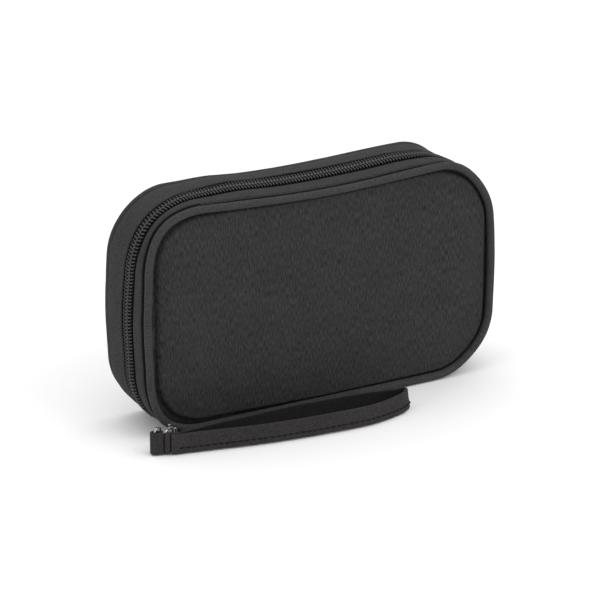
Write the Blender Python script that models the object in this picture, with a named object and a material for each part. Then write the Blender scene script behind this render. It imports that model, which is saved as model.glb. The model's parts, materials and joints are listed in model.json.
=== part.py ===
"""Cable organizer pouch: a zipped fabric case that opens on its long bottom edge, with a wrist strap.

Frame: +X runs along the pouch, the front cover faces -Y and +Z is up. The origin is the middle of
the base, on the surface that the pouch stands on. Lengths are in metres.
"""

import math

import bmesh
import bpy
from mathutils import Matrix, Vector

# Driving dimensions of the case
LENGTH = 0.190
HEIGHT = 0.110
SEAM_DEPTH = 0.037
CORNER_R = 0.031
SAG_FRONT = 0.0036
SAG_REAR = 0.0011
GAP = 0.0003

# Shell
PIPING_R = 0.0023
PIPING_SIDES = 8
WALL = 0.0020
CROWN = 0.0022
PANEL_RIM = 2 * PIPING_R + GAP
FOAM = 0.0020
LINING = 0.0008

# Zip: ZIP_Y is the plane where the two halves meet, and the hinge lies in it
ZIP_Y = -0.0028
SLOT_HALF = 0.0054
CHAIN_GAP_HALF = 0.0007
COIL_WIDTH = 0.0025
COIL_DEPTH = 0.0010
TAPE_INSET = 0.0013
TAPE = 0.0008
HINGE_EDGE = 0.0015
ZIP_START_DEG = -45.0
ZIP_END_DEG = 236.25

# Slider and puller, on the straight stretch of the right end
SLIDER_Z = 0.038
SLIDER_LENGTH = 0.011
SLIDER_WIDTH = 0.0078
PLATE = 0.0014
PULLER_LENGTH = 0.022
PULLER_THICK = 0.0012
PULLER_X = LENGTH / 2 + GAP + PLATE + 0.00105

# Strap and clasp. STRAP_PIN is the upright wire in the strap's end, and the clasp lies along
# CLASP_HEADING from it to the ring on the pouch's lower left corner.
STRAP_PIN = Vector((-0.0997, -0.0332, 0.0063))
CLASP_HEADING = math.radians(24.0)
STRAP_HEADING = math.radians(-26.0)
STRAP_THICK = 0.0018
STRAP_LOW = 0.0004
STRAP_HIGH = 0.0102
WIRE = 0.0013
EYE_LENGTH = 0.0042
EYE_HALF = 0.0056
HOOK_THICK = 0.0022
RING_REACH = 0.0123
KEEPER_FROM_PIN = 0.0060
KEEPER_LENGTH = 0.0048
KEEPER_THICK = 0.0052

HALF_X = LENGTH / 2
FRONT_Y = -SEAM_DEPTH / 2
REAR_Y = SEAM_DEPTH / 2
ARC_STEPS = 8
TOP_STEPS = 10


def clear_scene():
    for obj in list(bpy.data.objects):
        bpy.data.objects.remove(obj)


def material(name, color, roughness, metallic=0.0):
    made = bpy.data.materials.new(name)
    made.use_nodes = True
    shader = made.node_tree.nodes["Principled BSDF"]
    shader.inputs["Base Color"].default_value = (*color, 1.0)
    shader.inputs["Roughness"].default_value = roughness
    shader.inputs["Metallic"].default_value = metallic
    return made


def add_object(name, bm, finish, origin=(0.0, 0.0, 0.0)):
    """Makes an object of the mesh, which is in world space, with its origin at the given point."""
    origin = Vector(origin)
    bmesh.ops.recalc_face_normals(bm, faces=bm.faces)
    bmesh.ops.translate(bm, vec=-origin, verts=bm.verts)
    mesh = bpy.data.meshes.new(name)
    bm.to_mesh(mesh)
    bm.free()
    mesh.materials.append(finish)
    mesh.shade_smooth()
    mesh.set_sharp_from_angle(angle=math.radians(35))
    obj = bpy.data.objects.new(name, mesh)
    obj.location = origin
    bpy.context.scene.collection.objects.link(obj)
    return obj


# The outline of the case, seen from the front


def arc(cx, cz, start_deg):
    """A quarter circle: (x, z, outward normal, heading angle in degrees) at each step but the last."""
    made = []
    for step in range(ARC_STEPS):
        turned = start_deg + 90.0 * step / ARC_STEPS
        nx, nz = math.cos(math.radians(turned)), math.sin(math.radians(turned))
        made.append((cx + CORNER_R * nx, cz + CORNER_R * nz, nx, nz, turned))
    return made


def straight(start, end, normal, turned, steps):
    made = []
    for step in range(steps):
        share = step / steps
        x = start[0] + (end[0] - start[0]) * share
        z = start[1] + (end[1] - start[1]) * share
        made.append((x, z, *normal, turned))
    return made


def outline_stations():
    """Points round the case, counter-clockwise from the middle of its base."""
    run = HALF_X - CORNER_R
    low, high = CORNER_R, HEIGHT - CORNER_R
    return (
        straight((0, 0), (run, 0), (0, -1), -90.0, 2)
        + arc(run, low, -90.0)
        + straight((HALF_X, low), (HALF_X, high), (1, 0), 0.0, 3)
        + arc(run, high, 0.0)
        + straight((run, HEIGHT), (-run, HEIGHT), (0, 1), 90.0, TOP_STEPS)
        + arc(-run, high, 90.0)
        + straight((-HALF_X, high), (-HALF_X, low), (-1, 0), 180.0, 3)
        + arc(-run, low, 180.0)
        + straight((-run, 0), (0, 0), (0, -1), 270.0, 2)
    )


STATIONS = outline_stations()
ZIP_STATIONS = [s for s in STATIONS if ZIP_START_DEG <= s[4] <= ZIP_END_DEG]


def case_point(station, inset, y):
    """The point this far inside the outline at depth y. The top edge sags between its corners."""
    x = station[0] - inset * station[2]
    z = station[1] - inset * station[3]
    share = (y - FRONT_Y) / SEAM_DEPTH
    sag = SAG_FRONT + (SAG_REAR - SAG_FRONT) * share
    above = max(0.0, (z - HEIGHT / 2) / (HEIGHT / 2))
    z -= sag * math.cos(math.pi * x / LENGTH) ** 2 * above**2
    return Vector((x, y, z))


# Builders


def band(name, stations, section, closed, finish):
    """A strip that follows the outline. section gives the (inset, y) corners at a station."""
    bm = bmesh.new()
    rings = [
        [bm.verts.new(case_point(s, inset, y)) for inset, y in section(s)]
        for s in stations
    ]
    count = len(rings[0])
    pairs = list(zip(rings, rings[1:]))
    if closed:
        pairs.append((rings[-1], rings[0]))
    for one, two in pairs:
        for i in range(count):
            j = (i + 1) % count
            bm.faces.new((one[i], one[j], two[j], two[i]))
    if not closed:
        bm.faces.new(rings[0])
        bm.faces.new(rings[-1])
    return add_object(name, bm, finish)


def slab(name, rim, y_inner, y_rim, crown, finish):
    """A panel that fills the outline, flat inside and crowned outside, with a flat middle."""
    bm = bmesh.new()
    reach = 0.024 if crown else 0.0
    shares = (0.0, 0.15, 0.4, 0.7, 1.0) if crown else (0.0,)
    rings = [[bm.verts.new(case_point(s, rim, y_inner)) for s in STATIONS]]
    for share in shares:
        y = y_rim + crown * (1 - (1 - share) ** 2)
        rings.append([bm.verts.new(case_point(s, rim + reach * share, y)) for s in STATIONS])
    count = len(STATIONS)
    for one, two in zip(rings, rings[1:]):
        for i in range(count):
            j = (i + 1) % count
            bm.faces.new((one[i], one[j], two[j], two[i]))
    bm.faces.new(rings[0])
    bm.faces.new(rings[-1])
    return add_object(name, bm, finish)


def extrude_outline(name, loops, thickness, place, finish, origin=(0.0, 0.0, 0.0)):
    """A flat shape with holes, extruded along its own Z and centred on it. place puts it in the world."""
    bm = bmesh.new()
    for loop in loops:
        verts = [bm.verts.new((x, y, -thickness / 2)) for x, y in loop]
        for i, vert in enumerate(verts):
            bm.edges.new((vert, verts[(i + 1) % len(verts)]))
    bmesh.ops.triangle_fill(bm, use_beauty=True, edges=bm.edges[:])
    raised = bmesh.ops.extrude_face_region(bm, geom=bm.faces[:])
    top = [item for item in raised["geom"] if isinstance(item, bmesh.types.BMVert)]
    bmesh.ops.translate(bm, vec=(0, 0, thickness), verts=top)
    bmesh.ops.transform(bm, matrix=place, verts=bm.verts)
    return add_object(name, bm, finish, origin)


def join_solid(target, other):
    """Joins another solid into this one and drops the other."""
    cut = target.modifiers.new("join", "BOOLEAN")
    cut.operation = "UNION"
    cut.solver = "EXACT"
    cut.object = other
    graph = bpy.context.evaluated_depsgraph_get()
    mesh = bpy.data.meshes.new_from_object(target.evaluated_get(graph))
    target.modifiers.remove(cut)
    target.data = mesh
    bpy.data.objects.remove(other)


def rectangle(x0, y0, x1, y1):
    return [(x0, y0), (x1, y0), (x1, y1), (x0, y1)]


def circle(cx, cy, radius, sides, start=0.0, end=360.0):
    """Points on an arc. A full circle leaves out the repeated last point."""
    steps = sides if end - start >= 360.0 else sides - 1
    made = []
    for step in range(sides):
        turned = math.radians(start + (end - start) * step / steps)
        made.append((cx + radius * math.cos(turned), cy + radius * math.sin(turned)))
    return made


def ellipse_arc(center, radii, start, end, sides):
    made = []
    for step in range(sides):
        turned = math.radians(start + (end - start) * step / (sides - 1))
        made.append((center[0] + radii[0] * math.cos(turned), center[1] + radii[1] * math.sin(turned)))
    return made


def frame_matrix(origin, along, up):
    """Local X along the first direction, local Y towards the second, at the origin."""
    x_axis = Vector(along).normalized()
    z_axis = x_axis.cross(Vector(up)).normalized()
    y_axis = z_axis.cross(x_axis)
    turned = Matrix((x_axis, y_axis, z_axis)).transposed().to_4x4()
    turned.translation = Vector(origin)
    return turned


def smooth_path(points, steps):
    """A Catmull-Rom curve through the points."""
    ends = [points[0]] + list(points) + [points[-1]]
    made = []
    for a, b, c, d in zip(ends, ends[1:], ends[2:], ends[3:]):
        for step in range(steps):
            t = step / steps
            made.append(
                tuple(
                    0.5 * (2 * q + (r - p) * t + (2 * p - 5 * q + 4 * r - s) * t**2
                           + (3 * q - p - 3 * r + s) * t**3)
                    for p, q, r, s in zip(a, b, c, d)
                )
            )
    made.append(tuple(points[-1]))
    return made


# The shell. side is -1 for the front cover and +1 for the rear


def side_y(side, distance):
    """The depth this far inside the side's seam."""
    return side * (SEAM_DEPTH / 2 - distance)


def zip_y(side, offset):
    return ZIP_Y + side * offset


def add_piping(side, name, finish):
    seam = side_y(side, 0.0)

    def section(_station):
        return [
            (
                PIPING_R * (1 + math.cos(math.tau * (i + 0.5) / PIPING_SIDES)),
                seam + PIPING_R * math.sin(math.tau * (i + 0.5) / PIPING_SIDES),
            )
            for i in range(PIPING_SIDES)
        ]

    return band(name, STATIONS, section, True, finish)


def add_gusset(side, name, finish):
    """The side wall. It is cut back for the zip, and reaches the hinge line along the base."""
    outer = side_y(side, PIPING_R + GAP)

    def section(station):
        zipped = ZIP_START_DEG <= station[4] <= ZIP_END_DEG
        edge = zip_y(side, SLOT_HALF if zipped else HINGE_EDGE)
        return [(0.0, outer), (0.0, edge), (WALL, edge), (WALL, outer)]

    return band(name, STATIONS, section, True, finish)


def add_tape(side, name, finish):
    near = zip_y(side, CHAIN_GAP_HALF)
    far = zip_y(side, SLOT_HALF - GAP)
    inner = TAPE_INSET + TAPE

    def section(_station):
        return [(TAPE_INSET, near), (TAPE_INSET, far), (inner, far), (inner, near)]

    return band(name, ZIP_STATIONS, section, False, finish)


def add_coil(side, name, finish):
    near = zip_y(side, CHAIN_GAP_HALF)
    far = zip_y(side, CHAIN_GAP_HALF + COIL_WIDTH)

    def section(_station):
        return [(0.0, near), (0.0, far), (COIL_DEPTH, far), (COIL_DEPTH, near)]

    return band(name, ZIP_STATIONS, section, False, finish)


def add_panel(side, name, finish):
    return slab(name, PANEL_RIM, side_y(side, 0.0005), side_y(side, -0.0008), side * CROWN, finish)


def add_stiffener(side, name, finish):
    outer = 0.0005 + GAP
    return slab(name, PANEL_RIM, side_y(side, outer + FOAM), side_y(side, outer), 0.0, finish)


def add_lining(side, name, finish):
    outer = 0.0005 + 2 * GAP + FOAM
    return slab(name, WALL + GAP, side_y(side, outer + LINING), side_y(side, outer), 0.0, finish)


LINING_FACE = 0.0005 + 2 * GAP + FOAM + LINING + GAP
SPINE_HALF = 0.060


def add_spine_seam(finish):
    """The bound seam along the hinge line, between the two base walls."""
    width = HINGE_EDGE - GAP
    place = frame_matrix((0, ZIP_Y, 0), (0, 1, 0), (0, 0, 1))
    loop = rectangle(-width, 0.0, width, width)
    return extrude_outline("spine_seam", [loop], 2 * SPINE_HALF, place, finish)


def pocket(name, side, half_x, low, high, depth, finish):
    """An open-topped pocket sewn to the lining: a front wall with a bottom and two side walls."""
    wall = 0.0010
    back = side_y(side, LINING_FACE)
    front = side_y(side, LINING_FACE + depth)
    bm = bmesh.new()
    outer = [(-half_x, high), (-half_x, low), (half_x, low), (half_x, high)]
    inner = [
        (half_x - wall, high),
        (half_x - wall, low + wall),
        (-half_x + wall, low + wall),
        (-half_x + wall, high),
    ]
    rim = outer + inner
    edge = front + side * wall
    back_ring = [bm.verts.new((x, back, z)) for x, z in rim]
    front_ring = [bm.verts.new((x, front, z)) for x, z in outer]
    floor_ring = [bm.verts.new((x, edge, z)) for x, z in inner]
    bm.faces.new(back_ring)
    bm.faces.new(front_ring)
    bm.faces.new(floor_ring)
    for i in range(3):
        bm.faces.new((back_ring[i], back_ring[i + 1], front_ring[i + 1], front_ring[i]))
        bm.faces.new((back_ring[4 + i], back_ring[5 + i], floor_ring[i + 1], floor_ring[i]))
    top = [front_ring[0], back_ring[0], back_ring[7], floor_ring[3]]
    bm.faces.new(top + [floor_ring[0], back_ring[4], back_ring[3], front_ring[3]])
    return add_object(name, bm, finish)


POCKET_DEPTH = 0.0056
SLIP_POCKET = {"half_x": 0.074, "low": 0.008, "high": 0.050}
MESH_POCKET = {"half_x": 0.072, "low": 0.010, "high": 0.066}


def add_slip_pocket(finish):
    return pocket("slip_pocket", 1, depth=POCKET_DEPTH, finish=finish, **SLIP_POCKET)


def add_mesh_pocket(finish):
    return pocket("mesh_pocket", -1, depth=POCKET_DEPTH, finish=finish, **MESH_POCKET)


def add_pocket_binding(finish):
    """The elastic that edges the mouth of the mesh pocket."""
    middle = side_y(-1, LINING_FACE + POCKET_DEPTH - 0.0005)
    high = MESH_POCKET["high"] + GAP
    half = MESH_POCKET["half_x"]
    place = frame_matrix((0, middle, 0), (1, 0, 0), (0, 0, 1))
    loop = rectangle(-half, high, half, high + 0.006)
    return extrude_outline("mesh_pocket_binding", [loop], 0.0012, place, finish)


LOOP_COUNT = 5
LOOP_PITCH = 0.028
LOOP_FLAT = 0.004
LOOP_DEPTH = 0.0078
LOOP_BAND_Z = (0.062, 0.084)
ELASTIC = 0.0012


def add_elastic_loops(finish):
    """One elastic band, stitched down at intervals so that it stands off in loops."""
    back = side_y(1, LINING_FACE)
    half = LOOP_COUNT * LOOP_PITCH / 2 + LOOP_FLAT / 2
    outer, inner = [], []
    for index in range(LOOP_COUNT + 1):
        middle = (index - LOOP_COUNT / 2) * LOOP_PITCH
        left, right = max(-half, middle - LOOP_FLAT / 2), min(half, middle + LOOP_FLAT / 2)
        outer += [(left, back - ELASTIC), (right, back - ELASTIC)]
        inner += [(left, back), (right, back)]
        if index == LOOP_COUNT:
            break
        crest = middle + LOOP_PITCH / 2
        width = LOOP_PITCH / 2 - LOOP_FLAT / 2
        for step in range(1, 8):
            turned = math.pi * step / 8
            x = crest - width * math.cos(turned)
            rise = math.sin(turned) ** 0.6
            outer.append((x - ELASTIC * math.cos(turned), back - ELASTIC - (LOOP_DEPTH - ELASTIC) * rise))
            inner.append((x + ELASTIC * math.cos(turned) * 0.4, back - (LOOP_DEPTH - ELASTIC) * rise))
    low, high = LOOP_BAND_Z
    place = Matrix.Translation((0, 0, (low + high) / 2))
    return extrude_outline("elastic_loops", [outer + inner[::-1]], high - low, place, finish)


# The zip's slider and puller


def add_slider(finish):
    """Two plates joined by a neck between the rows of the zip, with a bridge for the puller."""
    outer_low = HALF_X + GAP
    outer_high = outer_low + PLATE
    inner_high = HALF_X - TAPE_INSET - TAPE - GAP
    inner_low = inner_high - PLATE
    neck = CHAIN_GAP_HALF - GAP
    half = SLIDER_WIDTH / 2
    profile = [
        (inner_low, -half), (inner_high, -half), (inner_high, -neck), (outer_low, -neck),
        (outer_low, -half), (outer_high, -half * 0.9), (outer_high, half * 0.9), (outer_low, half),
        (outer_low, neck), (inner_high, neck), (inner_high, half), (inner_low, half),
    ]
    center = (0, ZIP_Y, SLIDER_Z)
    body = extrude_outline("zipper_slider", [profile], SLIDER_LENGTH, Matrix.Translation(center), finish)
    place = frame_matrix(center, (1, 0, 0), (0, 0, 1))
    bridge_top = PULLER_X + 0.00195
    outer = [
        (outer_high - 0.0003, -0.0030), (bridge_top - 0.0006, -0.0030), (bridge_top, -0.0022),
        (bridge_top, 0.0022), (bridge_top - 0.0006, 0.0030), (outer_high - 0.0003, 0.0030),
    ]
    hole = rectangle(outer_high, -0.0018, PULLER_X + 0.00095, 0.0018)
    bridge = extrude_outline("bridge", [outer, hole], 0.0012, place, finish)
    join_solid(body, bridge)
    return body


def add_puller(finish):
    """A flat pull tab that hangs from the bridge and turns on its own top bar."""
    wide, tip, window = 0.0028, 0.0019, 0.0013
    bar = PULLER_THICK / 2
    low = -PULLER_LENGTH
    outline = [(-wide, bar), (-wide, low + 0.010), (-tip, low + 0.0055)]
    outline += [(0.0030 * math.cos(a), low + 0.0030 + 0.0030 * math.sin(a))
                for a in (math.radians(d) for d in range(150, 391, 24))]
    outline += [(tip, low + 0.0055), (wide, low + 0.010), (wide, bar)]
    hole = rectangle(-window, -0.0050, window, -bar)
    eyelet = circle(0.0, low + 0.0032, 0.0013, 10)
    place = frame_matrix((PULLER_X, ZIP_Y, SLIDER_Z), (0, 1, 0), (0, 0, 1))
    pivot = (PULLER_X, ZIP_Y, SLIDER_Z)
    return extrude_outline("zipper_puller", [outline, hole, eyelet], PULLER_THICK, place, finish, pivot)


# The strap's fastening on the lower left corner


def clasp_point(along, height=0.0):
    """The point this far from the strap's pin towards the ring on the pouch."""
    step = Vector((math.cos(CLASP_HEADING), math.sin(CLASP_HEADING), 0.0))
    return STRAP_PIN + step * along + Vector((0, 0, height))


def clasp_frame(along=0.0):
    heading = (math.cos(CLASP_HEADING), math.sin(CLASP_HEADING), 0.0)
    return frame_matrix(clasp_point(along), heading, (0, 0, 1))


TAB_HEADING = math.radians(228.0)
RING_TILT = math.radians(33.0)
RING_DEPTH = 0.0068
RING_HALF = 0.0044


def ring_bar():
    """The middle of the ring's straight bar, which the tab holds."""
    level = math.cos(RING_TILT) * RING_DEPTH
    away = Vector((math.cos(TAB_HEADING), math.sin(TAB_HEADING), 0.0)) * level
    return clasp_point(RING_REACH) - away - Vector((0, 0, math.sin(RING_TILT) * RING_DEPTH))


def add_tab_ring(finish):
    """A small D-ring: a straight bar and a bow, made as a flat wire outline with a hole."""
    half_wire = WIRE / 2
    bar = ring_bar()
    apex = clasp_point(RING_REACH)
    across = (-math.sin(TAB_HEADING), math.cos(TAB_HEADING), 0.0)
    place = frame_matrix(bar, apex - bar, across)

    def bow(grow):
        depth, half = RING_DEPTH + grow, RING_HALF + grow
        made = ellipse_arc((0.0008, 0.0), (depth - 0.0008, half), 90.0, -90.0, 11)
        return [(-grow, half)] + made + [(-grow, -half)]

    return extrude_outline("tab_ring", [bow(half_wire), bow(-half_wire)], WIRE, place, finish)


def add_corner_tab(finish):
    """A folded fabric tab: it leaves the seam under the corner and wraps the ring's bar."""
    bar = ring_bar()
    half_wire = WIRE / 2
    hole_r = half_wire * 1.42 + GAP
    wrap_r = hole_r + 0.0008
    length = 0.0136
    low, high = 0.00015 - bar.z, 0.00095 - bar.z
    back = Vector((-math.cos(TAB_HEADING), -math.sin(TAB_HEADING), 0.0))
    place = frame_matrix(bar, back, (0, 0, 1))
    outline = circle(0.0, 0.0, wrap_r, 15, -37.0, 277.0)
    outline += [(length, low), (length, high)]
    hole = circle(0.0, 0.0, hole_r, 10)
    return extrude_outline("corner_tab", [outline, hole], 2 * RING_HALF - WIRE - 2 * GAP, place, finish)


def add_clasp_eye(finish):
    """The clasp's long eye, which the strap's end turns on, with the stub of its swivel."""
    half_wire = WIRE / 2
    stub = 0.0013

    def stadium(grow):
        half, length = EYE_HALF + grow, EYE_LENGTH + grow
        bend = 0.0016 + grow
        corners = [(-grow, -half, 180.0), (length, -half, 270.0), (length, half, 0.0), (-grow, half, 90.0)]
        made = []
        for x, y, start in corners:
            cx = x + bend if x < 0.001 else x - bend
            cy = y + bend if y < 0 else y - bend
            made += circle(cx, cy, bend, 4, start, start + 90.0)
        return made

    outer = stadium(half_wire)
    far = EYE_LENGTH + half_wire
    outer[8:8] = [(far, -half_wire), (far + stub, -half_wire), (far + stub, half_wire), (far, half_wire)]
    return extrude_outline("clasp_eye", [outer, stadium(-half_wire)], WIRE, clasp_frame(), finish)


HOOK_CENTER = (0.0116, 0.0)
HOOK_OUTER = (0.0050, 0.0038)
HOOK_INNER = (0.0035, 0.0023)
GATE_FROM_DEG = 50.0
GATE_TO_DEG = 118.0
GATE_TIP_GAP_DEG = 15.0


def add_clasp_hook(finish):
    """The clasp's hooked body, open on its upper side, where the trigger closes it."""
    barrel_end = EYE_LENGTH + WIRE / 2 + 0.0013 + GAP
    barrel = 0.0016
    outer = ellipse_arc(HOOK_CENTER, HOOK_OUTER, GATE_TO_DEG, 158.0, 5)
    outer += [(barrel_end, barrel), (barrel_end, -barrel)]
    outer += ellipse_arc(HOOK_CENTER, HOOK_OUTER, 202.0, 360.0 + GATE_FROM_DEG, 15)
    inner = ellipse_arc(HOOK_CENTER, HOOK_INNER, 360.0 + GATE_FROM_DEG, GATE_TO_DEG, 19)
    return extrude_outline("clasp_hook", [outer + inner], HOOK_THICK, clasp_frame(), finish)


def trigger_pivot():
    middle = [(a + b) / 2 for a, b in zip(HOOK_OUTER, HOOK_INNER)]
    turned = math.radians(GATE_TO_DEG - 14.0)
    x = HOOK_CENTER[0] + middle[0] * math.cos(turned)
    return clasp_point(x, HOOK_CENTER[1] + middle[1] * math.sin(turned))


def add_clasp_trigger(finish):
    """The sprung gate of the clasp, with a thumb stub."""
    start, end = GATE_FROM_DEG + GATE_TIP_GAP_DEG, GATE_TO_DEG - 8.0
    outer_r = (HOOK_OUTER[0] - 0.0001, HOOK_OUTER[1] - 0.0001)
    inner_r = (HOOK_INNER[0] + 0.0003, HOOK_INNER[1] + 0.0003)
    outer = ellipse_arc(HOOK_CENTER, outer_r, start, 82.0, 4)
    stub = [(0.0121, 0.0050), (0.0106, 0.0052)]
    outer += stub + ellipse_arc(HOOK_CENTER, outer_r, 100.0, end, 2)
    inner = ellipse_arc(HOOK_CENTER, inner_r, end, start, 7)
    return extrude_outline(
        "clasp_trigger", [outer + inner], HOOK_THICK * 0.75, clasp_frame(), finish, trigger_pivot()
    )


# The wrist strap, which stands on edge


def strap_axes():
    along = Vector((math.cos(STRAP_HEADING), math.sin(STRAP_HEADING)))
    return along, Vector((-along.y, along.x))


def plan_solid(name, loops, low, high, finish):
    """A shape drawn in plan, standing from low to high."""
    place = Matrix.Translation((0, 0, (low + high) / 2))
    return extrude_outline(name, loops, high - low, place, finish)


def add_strap_end_loop(finish):
    """The fold of strap that wraps the clasp's eye."""
    along, across = strap_axes()
    pin = STRAP_PIN.xy
    radius = 0.0023
    reach = KEEPER_FROM_PIN - KEEPER_LENGTH / 2 - GAP
    heading = math.degrees(STRAP_HEADING)
    outline = circle(pin.x, pin.y, radius, 11, heading + 90.0, heading + 270.0)
    for side in (-1, 1):
        corner = pin + along * reach + across * side * 0.0019
        outline.append(tuple(corner))
    hole = circle(pin.x, pin.y, 0.00125, 12)
    return plan_solid("strap_end_loop", [outline, hole], 0.0017, 0.0109, finish)


def add_strap_keeper(finish):
    """The wrap that binds the strap's two ends together."""
    along, across = strap_axes()
    middle = STRAP_PIN.xy + along * KEEPER_FROM_PIN
    corners = []
    for a, b in ((-1, -1), (1, -1), (1, 1), (-1, 1)):
        corner = middle + along * a * KEEPER_LENGTH / 2 + across * b * KEEPER_THICK / 2
        corners.append(tuple(corner))
    return plan_solid("strap_keeper", [corners], STRAP_LOW, STRAP_HIGH + 0.0003, finish)


# The strap's middle line in plan, chosen by hand: out along the front strand, round the fold, and back
STRAP_ROUTE = [
    (-0.080, -0.041), (-0.050, -0.048), (-0.020, -0.052), (0.005, -0.053), (0.023, -0.049),
    (0.030, -0.045), (0.031, -0.043), (0.029, -0.042),
    (0.023, -0.042), (0.000, -0.038), (-0.030, -0.035), (-0.055, -0.035), (-0.079, -0.036),
]


def strap_path():
    """The strap's middle line in plan, from the keeper out to the fold and back."""
    along, across = strap_axes()
    start = STRAP_PIN.xy + along * (KEEPER_FROM_PIN + KEEPER_LENGTH / 2 + GAP)
    apart = across * (STRAP_THICK / 2 + 0.0002)
    near = [tuple(start - apart), tuple(start - apart + along * 0.002)]
    far = [tuple(start + apart + along * 0.002), tuple(start + apart)]
    return smooth_path(near + STRAP_ROUTE + far, 3)


def add_strap_band(finish):
    path = [Vector(p) for p in strap_path()]
    along = strap_axes()[0]
    last = len(path) - 1
    left, right = [], []
    for i, point in enumerate(path):
        ahead = path[min(i + 1, last)] - path[max(i - 1, 0)]
        if i in (0, last):
            ahead = along if i == 0 else -along
        across = Vector((-ahead.y, ahead.x)).normalized() * STRAP_THICK / 2
        left.append(tuple(point + across))
        right.append(tuple(point - across))
    return plan_solid("strap_band", [left + right[::-1]], STRAP_LOW, STRAP_HIGH, finish)


def main():
    clear_scene()
    shell = material("shell_fabric", (0.042, 0.042, 0.043), 0.85)
    trim = material("piping_fabric", (0.050, 0.050, 0.051), 0.80)
    inside = material("lining_fabric", (0.060, 0.060, 0.062), 0.90)
    foam = material("foam_board", (0.25, 0.25, 0.26), 0.95)
    tape = material("zipper_tape", (0.020, 0.020, 0.021), 0.90)
    nylon = material("zipper_nylon", (0.045, 0.045, 0.046), 0.45)
    mesh = material("mesh_net", (0.030, 0.030, 0.031), 0.80)
    elastic = material("elastic_web", (0.025, 0.025, 0.026), 0.85)
    webbing = material("strap_fabric", (0.050, 0.048, 0.049), 0.80)
    metal = material("nickel", (0.62, 0.61, 0.60), 0.25, 1.0)
    black_metal = material("black_metal", (0.035, 0.035, 0.037), 0.35, 0.8)

    for side, word in ((1, "rear"), (-1, "front")):
        add_panel(side, word + "_panel", shell)
        add_stiffener(side, word + "_stiffener", foam)
        add_lining(side, word + "_lining", inside)
        add_piping(side, word + "_piping", trim)
        add_gusset(side, word + "_gusset", shell)
        add_tape(side, word + "_zipper_tape", tape)
        add_coil(side, word + "_zipper_coil", nylon)
    add_spine_seam(trim)
    add_slip_pocket(inside)
    add_elastic_loops(elastic)
    add_mesh_pocket(mesh)
    add_pocket_binding(elastic)
    add_slider(black_metal)
    add_puller(black_metal)
    add_corner_tab(webbing)
    add_tab_ring(metal)
    add_clasp_hook(metal)
    add_clasp_trigger(metal)
    add_clasp_eye(metal)
    add_strap_end_loop(webbing)
    add_strap_keeper(webbing)
    add_strap_band(webbing)


main()
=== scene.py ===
"""Looks for the cable organizer pouch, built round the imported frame.

Everything is in metres in the frame's own axes: +X along the case, -Y out of the front cover, +Z up.
"rim" below is the case's outline seen from the front, measured counter-clockwise from the middle of
the base. A point on the case is given by its place on the rim, by how far it stands out from the
outline (negative inwards) and by its depth y.
"""

import json
import math

import bmesh
import bpy
import numpy as np
from mathutils import Matrix, Vector, noise


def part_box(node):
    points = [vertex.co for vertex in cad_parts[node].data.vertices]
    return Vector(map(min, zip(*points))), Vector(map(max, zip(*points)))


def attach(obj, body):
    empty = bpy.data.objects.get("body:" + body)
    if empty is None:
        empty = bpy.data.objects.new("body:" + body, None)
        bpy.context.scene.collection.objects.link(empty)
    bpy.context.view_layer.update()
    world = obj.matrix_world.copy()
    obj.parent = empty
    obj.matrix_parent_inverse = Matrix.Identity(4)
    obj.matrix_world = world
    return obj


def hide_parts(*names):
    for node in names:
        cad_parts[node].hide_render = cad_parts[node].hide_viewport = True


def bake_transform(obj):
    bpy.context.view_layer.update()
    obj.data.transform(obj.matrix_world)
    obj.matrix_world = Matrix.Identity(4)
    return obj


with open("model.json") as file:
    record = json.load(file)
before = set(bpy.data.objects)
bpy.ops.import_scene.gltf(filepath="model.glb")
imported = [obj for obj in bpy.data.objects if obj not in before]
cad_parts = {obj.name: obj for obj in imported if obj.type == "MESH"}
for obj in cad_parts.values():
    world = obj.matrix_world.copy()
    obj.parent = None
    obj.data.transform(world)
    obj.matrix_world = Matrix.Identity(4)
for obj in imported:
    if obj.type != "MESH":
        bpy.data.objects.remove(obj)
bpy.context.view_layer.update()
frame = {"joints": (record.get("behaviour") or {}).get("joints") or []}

TAU = math.tau
MM = 0.001

# The case's outline, as the frame has it
HALF_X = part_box("rear_gusset")[1].x
HEIGHT = 110 * MM
CORNER_R = 31 * MM
SEAM_DEPTH = 37 * MM
SAG_FRONT = 3.6 * MM
SAG_REAR = 1.1 * MM
RUN = HALF_X - CORNER_R
RISE = HEIGHT - 2 * CORNER_R
QUARTER = CORNER_R * math.pi / 2
RIM_LENGTH = 4 * RUN + 2 * RISE + 4 * QUARTER

# The zip
ZIP_Y = (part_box("front_zipper_coil")[1].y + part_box("rear_zipper_coil")[0].y) / 2
SLOT_HALF = max(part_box("rear_gusset")[0].y - ZIP_Y, 5.4 * MM)
ZIP_START = RUN + CORNER_R * math.radians(45.0)
ZIP_END = RIM_LENGTH - RUN - CORNER_R * math.radians(33.75)
TOOTH_PITCH = 1.69 * MM

LINING_INSET = 2.6 * MM
TAB_HEADING = math.radians(228.0)
RING_TILT = math.radians(33.0)

SIDES = {"front": -1, "rear": 1}
COVER = {"front": "front_cover", "rear": "rear_shell"}


# Mesh helpers


def new_object(name, mesh, materials, smooth=True):
    for finish in materials:
        mesh.materials.append(finish)
    if smooth:
        mesh.shade_smooth()
    obj = bpy.data.objects.new(name, mesh)
    bpy.context.scene.collection.objects.link(obj)
    return obj


def outward(mesh):
    bm = bmesh.new()
    bm.from_mesh(mesh)
    bmesh.ops.recalc_face_normals(bm, faces=bm.faces)
    bm.to_mesh(mesh)
    bm.free()


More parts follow.
